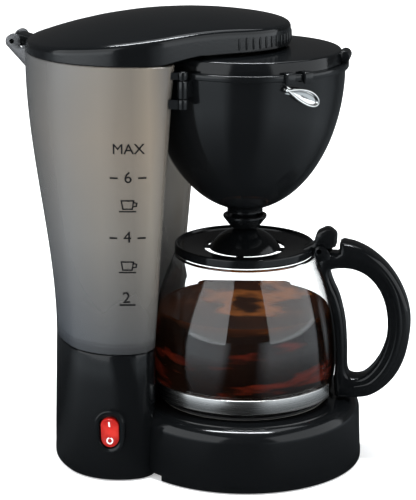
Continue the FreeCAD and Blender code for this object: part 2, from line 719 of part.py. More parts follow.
def brew_basket():
    """Bowl with a raised ring at the rim, a neck below and a hinge barrel towards the tank."""
    outer = half_ellipsoid("bowl_outer", D.bowl_radius, D.bowl_depth)
    extras = doc.addObject("PartDesign::Body", "bowl_extras")
    rim = D.bowl_rim_z
    turn(extras, rectangle(D.bowl_radius - 1, D.ring_radius, rim - 1, D.ring_top))
    neck = doc.addObject("PartDesign::Body", "bowl_neck")
    low, tube = D.neck_low, D.neck_tube_radius
    turn(neck, [(0, D.neck_tube_low), (tube, D.neck_tube_low), (tube, low), (D.neck_radius, low),
                (D.neck_radius, low + 1.2), (D.neck_radius - 0.8, low + 1.6), (D.neck_radius, low + 2),
                (D.neck_radius, low + 5), (0, low + 5)])
    barrel = doc.addObject("PartDesign::Body", "bowl_barrel")
    x, y, radius = D.basket_hinge_x, D.basket_hinge_y, D.basket_barrel_radius
    low, high = as_size(238.3), rim - 0.2
    cylinder(barrel, radius, low, high, x=x, y=y)
    reach = math.hypot(x.value, y.value)
    side_x, side_y = -y.value / reach * 2.6, x.value / reach * 2.6
    extrude(barrel, "XY_Plane", [(x + side_x, y + side_y), (x - side_x, y - side_y),
                                 (x * 0.87 - side_x, y * 0.87 - side_y), (x * 0.87 + side_x, y * 0.87 + side_y)],
            low, high)
    cylinder(barrel, D.hinge_pin_radius + D.running_gap, low - 1, high + 1, x=x, y=y, cut=True)
    hollow = half_ellipsoid("bowl_inner", D.bowl_radius - D.bowl_wall, D.bowl_depth - D.bowl_wall)
    bore = doc.addObject("PartDesign::Body", "bowl_bore")
    cylinder(bore, D.neck_bore, D.neck_tube_low - 1, 175)
    cylinder(bore, D.bowl_radius - D.bowl_wall, rim - 1.5, rim + 0.01)
    cylinder(bore, D.bowl_radius - 1, rim, D.ring_top + 1)
    holes = doc.addObject("Part::MultiFuse", "bowl_holes")
    holes.Shapes = [hollow, bore]
    fused("brew_basket", [outer, extras, neck, barrel], holes)


def basket_fittings():
    """Filter cone, clip-on basket lid, two clips and the bright pull tab."""
    rim = D.bowl_rim_z
    cone = new_body("filter_cone")
    turn(cone, [(0, 172), (20, 172), (54, rim - 1), (57.4, rim - 1), (57.4, rim), (D.bowl_radius - 1.3, rim),
                (D.bowl_radius - 1.3, rim + 1.2), (53, rim + 1.2), (19, 173.5), (0, 173.5)])
    lid = new_body("basket_lid")
    edge, crown, radius = D.basket_lid_edge_z, D.basket_lid_crown_z, D.basket_lid_radius
    low = rim + 1.2
    turn(lid, [(5, crown - 2.2), (5, crown - 0.1), (radius - 3, edge + 0.4), (radius - 1.3, edge - 1.6, 1.8),
               (radius, low), (radius - 2, low), (radius - 3.3, edge - 1.9)])
    cylinder(lid, 3.6, -8, 8, x=radius + 1.5, z=D.ring_top + 3.9, along="Y")
    for number, angle in enumerate((-59, -48), start=1):
        clip = new_body("basket_clip_%d" % number)
        clip_x = D.ring_radius + 0.05
        block(clip, (clip_x, -3, rim - 2), (clip_x + 2.6, 3, D.ring_top + 1.5))
        block(clip, (clip_x - 2.6, -3, D.ring_top + 0.1), (clip_x, 3, D.ring_top + 1.5))
        doc.recompute()
        clip.Placement.Rotation = FreeCAD.Rotation(Vector(0, 0, 1), angle)
    tab = new_body("pull_tab")
    tip_x, drop = as_size(-13), as_size(-2)
    half = as_size(6.6)
    extrude(tab, "XZ_Plane", [(tip_x, 4.5), (5, drop + half, 24), (5, drop - half, half), (tip_x, 3.3, -40)], 0, 3)
    inset = 1.4
    extrude(tab, "XZ_Plane", [(tip_x + 4, 3.2), (5, drop + half - inset, 22), (5, drop - half + inset, half - inset),
                              (tip_x + 4, 2.6, -38)], 1.6, 4, cut=True)
    doc.recompute()
    turned = FreeCAD.Rotation(Vector(0, 0, 1), 90 + D.tab_angle.value)
    tab.Placement = FreeCAD.Placement(Vector(0, 0, D.tab_z.value), turned)
    out = D.bowl_radius + 0.7
    tab.setExpression("Placement.Base.x", "Dims.axis_x + %s * cos(Dims.tab_angle)" % out.text)
    tab.setExpression("Placement.Base.y", "%s * sin(Dims.tab_angle)" % out.text)
    bind(tab, "Placement.Base.z", D.tab_z)


def drip_stop():
    """Sliding drip cup with its valve stem and spring: the dome of the carafe's lid lifts them off the seat."""
    tip, top, radius = D.cup_tip_z, D.cup_top, D.cup_radius
    floor, stem = tip + 1.7, as_size(2)
    sleeve, skirt = D.neck_tube_radius + 0.3, D.neck_radius + 0.4
    cup = new_body("drip_cup")
    turn(cup, [(stem, tip), (D.cup_tip_radius - 0.5, tip), (D.cup_tip_radius, tip + 0.5), (radius, top - 1),
               (radius, top), (skirt, top), (skirt, top - 2.3), (sleeve, top - 2.3), (sleeve, floor), (stem, floor)])
    for angle in (90, 210, 330):
        turned = math.radians(angle)
        cylinder(cup, 1.2, tip - 1, floor + 1, x=5 * math.cos(turned), y=5 * math.sin(turned), cut=True)
    seat = D.valve_seat_z
    turn(new_body("drip_valve"), [(0, tip), (stem, tip), (stem, seat), (7.5, seat), (7.5, seat + 1.2),
                                  (6.5, seat + 1.8), (0, seat + 1.8)])
    turn(new_body("valve_spring"), rectangle(4, 6, seat + 1.8, D.spring_top))
    keeper = new_body("spring_keeper")
    cylinder(keeper, 7, D.spring_top, D.spring_top + 1.4)
    block(keeper, (-24.5, -3, D.spring_top), (24.5, 3, D.spring_top + 1.4))


# ---------------------------------------------------------------- carafe

SIDE_ARC = ((D.glass_neck_z.value - D.glass_wide_z.value) ** 2
            + (D.glass_radius.value - D.glass_neck_radius.value) ** 2) \
    / (2 * (D.glass_radius.value - D.glass_neck_radius.value))


def glass_wall(offset):
    """The jug's side from foot to lip, moved outwards by an offset."""
    return [(D.glass_low_radius + offset, D.glass_low_z, -(D.glass_corner_radius + offset)),
            (D.glass_radius + offset, D.glass_wide_z, -120),
            (D.glass_neck_radius + offset, D.glass_neck_z, -(SIDE_ARC + offset)),
            (D.glass_lip_radius + offset, D.glass_lip_z)]


def carafe():
    """Glass jug, steel band, handle with its strap, and the lid's pin."""
    jug = new_body("carafe_glass")
    wall, foot = D.glass_wall, D.glass_foot_z
    outline = [(0, foot), (D.glass_foot_radius, foot)] + glass_wall(0)
    inner = [(D.glass_lip_radius - wall, D.glass_lip_z), (D.glass_neck_radius - wall, D.glass_neck_z),
             (D.glass_radius - wall, D.glass_wide_z, SIDE_ARC - wall.value),
             (D.glass_low_radius - wall, D.glass_low_z, 118),
             (D.glass_foot_radius, foot + wall, D.glass_corner_radius - wall), (0, foot + wall)]
    turn(jug, outline + inner)
    band = new_body("carafe_band")
    band_in = D.glass_radius
    turn(band, rectangle(band_in - 0.4, band_in + 0.5, D.band_low, D.band_top), angle=325)
    doc.recompute()
    band.Placement.Rotation = FreeCAD.Rotation(Vector(0, 0, 1), 180)
    handle = new_body("handle")
    half = D.handle_width / 2
    strap = D.glass_wide_z
    near = 0.4
    extrude(handle, "XZ_Plane", [(58.6, 41.6), (79, 41.6), (93, 52, -30), (104, 88, -70), (97, 120, -60),
                                 (72, 141, -36), (59.5, 142.5), (59.5, 134), (50.5, 134), (46, 129.5),
                                 (D.glass_neck_radius + near, D.glass_neck_z),
                                 (D.glass_radius + near, strap, SIDE_ARC + near),
                                 (57.6, 52, 120)], -half, half)
    extrude(handle, "XZ_Plane", [(72, 55), (81, 59, -14), (87, 84, -60), (82, 109, -60), (69, 123.5, -24),
                                 (55, 124.5), (63, 101), (67, 80, 90), (69, 60, 90)], -half - 1, half + 1,
            cut=True)
    x, z = D.carafe_hinge_x, D.carafe_hinge_z
    for side in (-1, 1):
        low, high = sorted((6.3 * side, 9 * side))
        extrude(handle, "XZ_Plane", [(46, 130), (54, 132), (54, 134), (x + 3.2, z), (x, z + 3.2, -3.2),
                                     (x - 1.5, z)], low, high)
    cylinder(handle, D.hinge_pin_radius, -12, 12, x=x, z=z, along="Y", cut=True)
    cylinder(new_body("carafe_lid_pin"), D.hinge_pin_radius, -9, 9, x=x, z=z, along="Y")


def carafe_lid():
    """Dished lid ring with a drip hole, a dome carried in it on four spokes, and a thumb lever."""
    lid = new_body("carafe_lid")
    low, top, floor = D.lid_rim_low, D.lid_rim_top, D.lid_floor_z
    rim, hole = D.lid_rim_radius, D.lid_hole_radius
    turn(lid, [(hole, floor - 2), (rim - 2.2, low + 0.8), (rim - 0.8, low), (rim, low + 1), (rim, top - 1),
               (rim - 1, top, -1), (rim - 2.2, top - 1.2), (hole, floor)])
    dome_radius = (D.dome_radius.value ** 2 + (D.dome_top.value - floor.value) ** 2) \
        / (2 * (D.dome_top.value - floor.value))
    turn(lid, [(0, D.dome_top - 2), (D.dome_radius - 2.4, floor - 0.6, dome_radius - 2),
               (D.dome_radius, floor - 0.6), (D.dome_radius, floor),
               (0, D.dome_top, -dome_radius)])
    for side_x, side_y in ((1, 0), (0, 1)):
        reach, half = D.lid_hole_radius + 3, as_size(2.2)
        inner = D.dome_radius - 2
        for sign in (-1, 1):
            near, far = sorted((inner * sign, reach * sign), key=lambda edge: edge.value)
            if side_x:
                block(lid, (near, -half, floor - 2), (far, half, floor - 0.4))
            else:
                block(lid, (-half, near, floor - 2), (half, far, floor - 0.4))
    x, z = D.carafe_hinge_x, D.carafe_hinge_z
    extrude(lid, "XZ_Plane", [(rim - 6, floor - 0.8), (x, z - 2.6), (x + 2.6, z, -2.6), (57, 138), (57.3, 145),
                              (52, 149.8, -6), (45.5, 146, -7), (43.5, 140.5), (rim - 6, floor + 1.6)], -5.8, 5.8)
    cylinder(lid, D.hinge_pin_radius + D.running_gap, -8, 8, x=x, z=z, along="Y", cut=True)


def small_parts():
    """Terminal block and the bush where a mains lead would enter."""
    block(new_body("terminal_block"), (-66, 36, 8), (-49, 46, 20))
    gland = new_body("cord_gland")
    cylinder(gland, 4.4, 58, 66.4, x=D.switch_x, z=16, along="Y")
    cylinder(gland, 6.5, 66.4, 68.4, x=D.switch_x, z=16, along="Y")
    cylinder(gland, 3.2, 57, 70, x=D.switch_x, z=16, along="Y", cut=True)


# ---------------------------------------------------------------- the assembly

HELPERS = ("lid_outer_plan", "lid_inner_plan", "lid_knuckle", "bowl_extras", "bowl_neck", "bowl_barrel", "bowl_bore")
BOOLEANS = ("tank_lid", "brew_basket")


def checked_parts():
    """Recompute, stop on any failed object, and return the sub-parts."""
    doc.recompute()
    failed = [item.Name for item in doc.Objects if "Invalid" in item.State or "Error" in item.State]
    if failed:
        raise RuntimeError("failed objects: %s" % ", ".join(failed))
    parts = [item for item in doc.Objects if item.Label in BOOLEANS
             or (item.TypeId == "PartDesign::Body" and item.Label not in HELPERS)]
    for item in parts:
        if item.Shape.isNull() or not item.Shape.isValid():
            raise RuntimeError("bad shape: %s" % item.Label)
    return parts


def main():
    base_housing()
    bottom_cover()
    feet_and_screws()
    warmer()
    water_path()
    switch()
    small_parts()
    water_tank()
    tank_lid()
    brew_basket()
    basket_fittings()
    drip_stop()
    carafe()
    carafe_lid()
    parts = checked_parts()
    os.makedirs("parts", exist_ok=True)
    for item in parts:
        item.Shape.exportStep("parts/%s.step" % item.Label)
        box = item.Shape.BoundBox
        print("%-18s solids %d volume %8.0f  z %.1f to %.1f" % (item.Label, len(item.Shape.Solids), item.Shape.Volume,
                                                              box.ZMin, box.ZMax))


main()
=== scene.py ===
"""Looks of the drip coffee maker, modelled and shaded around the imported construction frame."""
from __future__ import annotations

import logging
import math
import random
from dataclasses import dataclass
from enum import Enum
from typing import Callable, Iterable, Sequence

import bmesh
import bpy
from mathutils import Matrix, Vector
from mathutils.bvhtree import BVHTree

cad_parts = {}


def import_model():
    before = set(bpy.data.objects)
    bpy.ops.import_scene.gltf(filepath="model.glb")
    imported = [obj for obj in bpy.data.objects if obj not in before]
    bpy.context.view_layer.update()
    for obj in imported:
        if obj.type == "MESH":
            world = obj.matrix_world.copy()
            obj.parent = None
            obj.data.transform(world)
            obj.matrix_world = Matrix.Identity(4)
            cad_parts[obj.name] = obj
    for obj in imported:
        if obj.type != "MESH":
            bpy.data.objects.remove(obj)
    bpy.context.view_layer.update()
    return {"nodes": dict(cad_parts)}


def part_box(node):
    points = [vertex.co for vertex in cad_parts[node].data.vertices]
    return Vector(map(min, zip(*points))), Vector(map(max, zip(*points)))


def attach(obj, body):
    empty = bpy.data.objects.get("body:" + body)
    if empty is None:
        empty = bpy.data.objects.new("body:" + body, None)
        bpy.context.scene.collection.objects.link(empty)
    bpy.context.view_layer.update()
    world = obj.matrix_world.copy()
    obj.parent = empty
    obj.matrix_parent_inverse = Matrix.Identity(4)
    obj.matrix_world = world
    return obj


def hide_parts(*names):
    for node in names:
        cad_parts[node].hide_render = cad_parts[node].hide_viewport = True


LOG = logging.getLogger("coffee_maker")
MM = 0.001
Point = tuple[float, float]


# ------------------------------------------------------------------ outlines

def round_corners(corners: Sequence[tuple[float, ...]], closed: bool = True, steps: int = 6) -> list[Point]:
    """Round the corners of an outline.

    Args:
        corners: (x, y) or (x, y, radius) in millimetres.
        closed: whether the last corner joins the first.
        steps: segments in each rounded corner.

    Returns:
        The outline's points.
    """
    points: list[Point] = []
    count = len(corners)
    for index, corner in enumerate(corners):
        here = Vector(corner[:2])
        at_end = not closed and index in (0, count - 1)
        if len(corner) < 3 or corner[2] <= 0 or at_end:
            points.append((here.x, here.y))
            continue
        before = (Vector(corners[index - 1][:2]) - here).normalized()
        after = (Vector(corners[(index + 1) % count][:2]) - here).normalized()
        half = before.angle(after) / 2
        reach = corner[2] / math.tan(half)
        centre = here + (before + after).normalized() * (corner[2] / math.sin(half))
        start, end = here + before * reach - centre, here + after * reach - centre
        sweep = start.angle_signed(end)
        for step in range(steps + 1):
            turned = start.copy()
            turned.rotate(Matrix.Rotation(-sweep * step / steps, 2))
            points.append((centre.x + turned.x, centre.y + turned.y))
    return points


def arc_points(centre: Vector, start: Vector, end: Vector, steps: int) -> list[Point]:
    """Points of the short arc about a centre, without its last point."""
    first, last = start - centre, end - centre
    sweep = first.angle_signed(last)
    points = []
    for step in range(steps):
        turned = first.copy()
        turned.rotate(Matrix.Rotation(-sweep * step / steps, 2))
        points.append((centre.x + turned.x, centre.y + turned.y))
    return points


def line_points(start: Vector, end: Vector, steps: int) -> list[Point]:
    """Points of a straight stretch, without its last point."""
    return [tuple(start.lerp(end, step / steps)) for step in range(steps)]


def mirrored(point: Vector) -> Vector:
    """The point on the other side of the machine's middle plane."""
    return Vector((point.x, -point.y))


def stadium(half_width: float, half_height: float, steps: int = 24) -> list[Point]:
    """An upright outline with straight sides and round ends, about its middle."""
    straight = half_height - half_width
    upper = [(half_width * math.cos(math.pi * i / steps), straight + half_width * math.sin(math.pi * i / steps))
             for i in range(steps + 1)]
    return upper + [(-x, -y) for x, y in upper]


@dataclass(frozen=True)
class Section:
    """Plan of the tank at one height, in millimetres."""

    height: float
    reach: float
    half_width: float
    side: float
    horn: float

    def blend(self, other: Section, share: float, height: float) -> Section:
        """A plan between this one and another."""
        def mix(a: float, b: float) -> float:
            return a + (b - a) * share
        return Section(height, mix(self.reach, other.reach), mix(self.half_width, other.half_width),
                       mix(self.side, other.side), mix(self.horn, other.horn))


@dataclass(frozen=True)
class TankPlan:
    """Plan of column and tank: a hollow face to the carafe, round horns, full sides and a flatter outer end."""

    hollow: float = 63.5
    end: float = 80.0
    foot: Section = Section(1.0, 120.3, 65.2, 36, 16)
    seam: Section = Section(81.0, 118.4, 64.0, 36, 16)
    low: Section = Section(130.0, 121.6, 66.5, 45, 14)
    mid: Section = Section(200.0, 131.4, 71.0, 57, 11.5)
    rim: Section = Section(257.5, 134.8, 74.0, 64, 10)

    def section(self, height: float) -> Section:
        """The plan at a height: straight in the column, and a smooth swell through the tank's four plans."""
        if height <= self.seam.height:
            share = (height - self.foot.height) / (self.seam.height - self.foot.height)
            return self.foot.blend(self.seam, share, height)
        keys = [self.seam, self.low, self.mid, self.rim]
        weights = []
        for index, key in enumerate(keys):
            weight = 1.0
            for other, rival in enumerate(keys):
                if other != index:
                    weight *= (height - rival.height) / (key.height - rival.height)
            weights.append(weight)
        def total(name: str) -> float:
            return sum(weight * getattr(key, name) for weight, key in zip(weights, keys))
        return Section(height, total("reach"), total("half_width"), total("side"), total("horn"))

    def circles(self, section: Section, inset: float) -> tuple[Vector, Vector, Vector, float, float, float]:
        """Centres of the end, side and horn arcs on the far side, and the three radii."""
        end, side, horn = self.end - inset, section.side - inset, section.horn - inset
        end_at = Vector((end - section.reach + inset, 0))
        side_y = section.half_width - inset - side
        side_at = Vector((end_at.x - math.sqrt((end - side) ** 2 - side_y ** 2), side_y))
        hollow = self.hollow + inset
        along = ((hollow + horn) ** 2 - (side - horn) ** 2 + side_at.length_squared) / (2 * side_at.length)
        across = math.sqrt((hollow + horn) ** 2 - along ** 2)
        unit = side_at.normalized()
        horn_at = unit * along + Vector((unit.y, -unit.x)) * across
        return end_at, side_at, horn_at, end, side, horn

    def outline(self, height: float, inset: float = 0.0) -> list[Point]:
        """Points of the plan at a height, always the same number of them."""
        end_at, side_at, horn_at, end, side, horn = self.circles(self.section(height), inset)
        hollow = self.hollow + inset
        horn_in = horn_at.normalized() * hollow
        horn_out = side_at + (horn_at - side_at).normalized() * side
        side_out = end_at + (side_at - end_at).normalized() * end
        back, tip = Vector((-hollow, 0)), Vector((end_at.x - end, 0))
        origin = Vector((0, 0))
        points = arc_points(origin, mirrored(horn_in), back, 18) + arc_points(origin, back, horn_in, 18)
        points += arc_points(horn_at, horn_in, horn_out, 18)
        points += arc_points(side_at, horn_out, side_out, 18)
        points += arc_points(end_at, side_out, tip, 16) + arc_points(end_at, tip, mirrored(side_out), 16)
        points += arc_points(mirrored(side_at), mirrored(side_out), mirrored(horn_out), 18)
        points += arc_points(mirrored(horn_at), mirrored(horn_out), mirrored(horn_in), 18)
        return points


@dataclass(frozen=True)
class LidPlan:
    """Plan of the tank's lid: the tank's outer end run out to a round nose over the basket."""

    tank: TankPlan = TankPlan()
    nose_x: float = -21.5
    nose_radius: float = 48.0
    crown_x: float = -34.0
    crown_z: float = 281.5
    crown_radius: float = 285.0

    def outline(self, inset: float = 0.0) -> list[Point]:
        """Points of the lid's plan, anticlockwise from the nose."""
        end_at, side_at, _, end, side, _ = self.tank.circles(self.tank.rim, inset)
        nose, nose_at = self.nose_radius - inset, Vector((self.nose_x, 0))
        side_out = end_at + (side_at - end_at).normalized() * end
        span = nose_at - side_at
        lean = math.atan2(span.y, span.x) + math.acos((side - nose) / span.length)
        normal = Vector((math.cos(lean), math.sin(lean)))
        shoulder, cheek = side_at + normal * side, nose_at + normal * nose
        front, tip = nose_at + Vector((nose, 0)), Vector((end_at.x - end, 0))
        half = arc_points(nose_at, front, cheek, 40) + line_points(cheek, shoulder, 12)
        half += arc_points(side_at, shoulder, side_out, 36) + arc_points(end_at, side_out, tip, 20)
        return half + [tuple(tip)] + [(x, -y) for x, y in reversed(half[1:])]

    def crown(self, x: float, y: float, lower: float = 0.0) -> float:
        """Height of the crowned top at a place."""
        radius = self.crown_radius - lower
        return self.crown_z - self.crown_radius + math.sqrt(radius ** 2 - (x - self.crown_x) ** 2 - y ** 2)


# ------------------------------------------------------------------ meshes

class Builder:
    """Builds one closed mesh from rings of points given in millimetres about the hot plate's axis."""

    axis_x: float = 0.0

    def __init__(self, name: str) -> None:
        """Start an empty mesh.

        Args:
            name: name of the object to make.
        """
        self.name = name
        self.mesh = bmesh.new()

    def ring(self, points: Iterable[Sequence[float]]) -> list[bmesh.types.BMVert]:
        """Add a ring of vertices."""
        return [self.mesh.verts.new(((x + self.axis_x) * MM, y * MM, z * MM)) for x, y, z in points]

    def bridge(self, first: list, second: list) -> None:
        """Join two rings of equal length with quads, or a ring and a single vertex with triangles."""
        count = max(len(first), len(second))
        for index in range(count):
            after = (index + 1) % count
            corners = [first[index % len(first)], first[after % len(first)],
                       second[after % len(second)], second[index % len(second)]]
            unique = list(dict.fromkeys(corners))
            self.mesh.faces.new(unique)

    def stack(self, rings: Sequence[Sequence[Sequence[float]]], looped: bool = False) -> None:
        """Skin a series of rings; open ends are capped, and a ring of one point closes an end by itself."""
        made = [self.ring(points) for points in rings]
        for first, second in zip(made, made[1:]):
            self.bridge(first, second)
        if looped:
            self.bridge(made[-1], made[0])
            return
        for end in (made[0], made[-1]):
            if len(end) > 2:
                self.mesh.faces.new(end)

    def strip(self, sides: Sequence[Sequence[Point]], low: float, high: float) -> None:
        """A wall that follows two open lines, between two heights."""
        outer, inner = sides
        self.stack([[(*a, low), (*b, low), (*b, high), (*a, high)] for a, b in zip(outer, inner)])

    def lathe(self, profile: Sequence[Point], steps: int = 120, looped: bool = True,
              centre: Point = (0.0, 0.0)) -> None:
        """Turn a profile of (radius, height) about an upright axis."""
        rings = []
        for radius, height in profile:
            if radius <= 1e-6:
                rings.append([(centre[0], centre[1], height)])
                continue
            turns = [2 * math.pi * step / steps for step in range(steps)]
            rings.append([(centre[0] + radius * math.cos(t), centre[1] + radius * math.sin(t), height)
                          for t in turns])
        self.stack(rings, looped and len(rings[0]) > 1)

    def upright_slab(self, outline: Sequence[Point], y_low: float, y_high: float, edge: float) -> None:
        """A slab with an outline of (x, z), from y_low to y_high, with rounded rims of a given size."""
        levels = [(y_low, edge), (y_low + edge * 0.3, edge * 0.3), (y_low + edge, 0.0),
                  (y_high - edge, 0.0), (y_high - edge * 0.3, edge * 0.3), (y_high, edge)]
        self.stack([[(x, y, z) for x, z in shrink(outline, inset)] for y, inset in levels])

    def finish(self, material: bpy.types.Material, body: str, replaces: Sequence[str] = (), slot: str = "",
               sharp: float = 32.0) -> bpy.types.Object:
        """Make the object, shade it and tell the frame what it rides on.

        Args:
            material: its finish.
            body: the CAD body that it moves with.
            replaces: CAD nodes that it stands for.
            slot: not used.
            sharp: edges that turn by more than this many degrees stay sharp.

        Returns:
            The new object.
        """
        bmesh.ops.recalc_face_normals(self.mesh, faces=self.mesh.faces)
        for face in self.mesh.faces:
            face.smooth = True
        for edge in self.mesh.edges:
            if len(edge.link_faces) == 2 and edge.calc_face_angle(0.0) > math.radians(sharp):
                edge.smooth = False
        data = bpy.data.meshes.new(self.name)
        self.mesh.to_mesh(data)
        self.mesh.free()
        item = bpy.data.objects.new(self.name, data)
        bpy.context.scene.collection.objects.link(item)
        data.materials.append(material)
        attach(item, body)
        if replaces:
            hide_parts(*replaces)
        return item


def shrink(outline: Sequence[Point], inset: float) -> list[Point]:
    """Move every point of a closed outline inwards along its own normal."""
    if inset == 0:
        return list(outline)
    area = sum(a[0] * b[1] - b[0] * a[1] for a, b in zip(outline, list(outline[1:]) + [outline[0]]))
    side = 1 if area > 0 else -1
    moved = []
    for index, point in enumerate(outline):
        along = Vector(outline[(index + 1) % len(outline)]) - Vector(outline[index - 1])
        along.normalize()
        moved.append((point[0] - along.y * side * inset, point[1] + along.x * side * inset))
    return moved


# ------------------------------------------------------------------ materials

class Value:
    """A shader socket that can be added, multiplied and compared like a number."""

    def __init__(self, graph: Graph, socket: bpy.types.NodeSocket) -> None:
        self.graph = graph
        self.socket = socket

    def _math(self, operation: str, other: Value | float) -> Value:
        return self.graph.node("ShaderNodeMath", {0: self, 1: other}, operation=operation)

    def __add__(self, other: Value | float) -> Value:
        return self._math("ADD", other)

    def __sub__(self, other: Value | float) -> Value:
        return self._math("SUBTRACT", other)

    def __mul__(self, other: Value | float) -> Value:
        return self._math("MULTIPLY", other)

    def power(self, other: float) -> Value:
        """This value raised to a power."""
        return self._math("POWER", other)


class Graph:
    """One material's node tree."""

    def __init__(self, name: str) -> None:
        """Make an empty material with a principled shader."""
        self.material = bpy.data.materials.new(name)
        self.material.use_nodes = True
        self.tree = self.material.node_tree
        self.shader = self.tree.nodes["Principled BSDF"]

    def node(self, kind: str, inputs: dict | None = None, output: int | str = 0, **settings: object) -> Value:
        """Add a node, set its properties and inputs, and return one of its outputs."""
        made = self.tree.nodes.new(kind)
        for name, setting in settings.items():
            setattr(made, name, setting)
        for name, given in (inputs or {}).items():
            self.put(made.inputs[name], given)
        return Value(self, made.outputs[output])

    def put(self, socket: bpy.types.NodeSocket, given: object) -> None:
        """Link a value to a socket, or set its constant."""
        if isinstance(given, Value):
            self.tree.links.new(given.socket, socket)
        else:
            socket.default_value = given

    def set(self, **inputs: object) -> None:
        """Set the shader's own inputs, with underscores for spaces."""
        for name, given in inputs.items():
            self.put(self.shader.inputs[name.replace("_", " ")], given)

    def place(self) -> Value:
        """The point being shaded, in the object's coordinates."""
        return self.node("ShaderNodeTexCoord", output="Object")

    def noise(self, scale: float, detail: float = 3.0, stretch: Sequence[float] = (1, 1, 1)) -> Value:
        """Soft noise with features of about 1/scale metres."""
        spot = self.node("ShaderNodeMapping", {"Vector": self.place(), "Scale": tuple(stretch)}, output="Vector")
        return self.node("ShaderNodeTexNoise", {"Vector": spot, "Scale": scale, "Detail": detail}, output="Fac")

    def height(self) -> Value:
        """Height above the table, in metres."""
        return self.node("ShaderNodeSeparateXYZ", {0: self.place()}, output="Z")

    def ramp(self, value: Value, stops: Sequence[tuple[float, Sequence[float] | float]]) -> Value:
        """Map a value to colours or greys through stops."""
        colour = self.node("ShaderNodeValToRGB", {"Fac": value}, output="Color")
        elements = colour.socket.node.color_ramp.elements
        while len(elements) < len(stops):
            elements.new(0.5)
        for element, (position, tone) in zip(elements, stops):
            element.position = position
            element.color = (tone, tone, tone, 1) if isinstance(tone, (int, float)) else (*tone, 1)
        return colour

    def remap(self, value: Value, low: float, high: float, to_low: float, to_high: float) -> Value:
        """Map a range of values onto another."""
        return self.node("ShaderNodeMapRange", {"Value": value, "From Min": low, "From Max": high,
                                                "To Min": to_low, "To Max": to_high}, output="Result")

    def bump(self, height: Value, strength: float, distance: float) -> Value:
        """A normal from a height map."""
        return self.node("ShaderNodeBump", {"Height": height, "Strength": strength, "Distance": distance},
                         output="Normal")


@dataclass(frozen=True)
class PlasticFinish:
    """A moulded plastic: colour, gloss and the size of its surface texture."""

    colour: tuple[float, float, float]
    roughness: float
    spread: float
    texture: float
    depth: float
    shine: float = 0.5

    def make(self, name: str) -> bpy.types.Material:
        """Build the material."""
        graph = Graph(name)
        broad = graph.noise(14.0, 4.0)
        fine = graph.noise(self.texture, 2.0)
        dark = tuple(channel * 0.75 for channel in self.colour)
        graph.set(Base_Color=graph.ramp(broad, [(0.35, dark), (0.65, self.colour)]),
                  Roughness=graph.remap(broad, 0.3, 0.7, self.roughness, self.roughness + self.spread),
                  Normal=graph.bump(fine, self.depth, 0.0004), Specular_IOR_Level=self.shine)
        return graph.material


@dataclass(frozen=True)
class MetalFinish:
    """A metal: colour, roughness and the direction of its grain."""

    colour: tuple[float, float, float]
    roughness: float
    spread: float
    grain: tuple[float, float, float]
    depth: float

    def make(self, name: str) -> bpy.types.Material:
        """Build the material."""
        graph = Graph(name)
        grain = graph.noise(260.0, 4.0, self.grain)
        broad = graph.noise(22.0, 3.0)
        dark = tuple(channel * 0.85 for channel in self.colour)
        graph.set(Base_Color=graph.ramp(broad, [(0.3, dark), (0.7, self.colour)]), Metallic=1.0,
                  Roughness=graph.remap(grain, 0.3, 0.7, self.roughness, self.roughness + self.spread),
                  Normal=graph.bump(grain, self.depth, 0.0003))
        return graph.material


class Finish(Enum):
    """Finishes that need no special graph."""

    GLOSS_BLACK = PlasticFinish((0.004, 0.0045, 0.005), 0.09, 0.06, 900.0, 0.04, 0.33)
    MATTE_BLACK = PlasticFinish((0.022, 0.022, 0.023), 0.42, 0.12, 1600.0, 0.35)
    RUBBER = PlasticFinish((0.03, 0.03, 0.03), 0.7, 0.15, 1200.0, 0.5)
    SILICONE = PlasticFinish((0.55, 0.53, 0.48), 0.35, 0.1, 500.0, 0.1)
    PLATE = PlasticFinish((0.02, 0.02, 0.021), 0.3, 0.18, 2600.0, 0.8)
    CHROME = MetalFinish((0.78, 0.78, 0.77), 0.07, 0.1, (1, 1, 1), 0.05)
    BAND = MetalFinish((0.86, 0.85, 0.83), 0.2, 0.1, (0.15, 0.15, 14), 0.04)
    STEEL = MetalFinish((0.55, 0.55, 0.54), 0.3, 0.15, (1, 1, 6), 0.2)
    ALUMINIUM = MetalFinish((0.62, 0.62, 0.62), 0.45, 0.2, (1, 1, 1), 0.5)


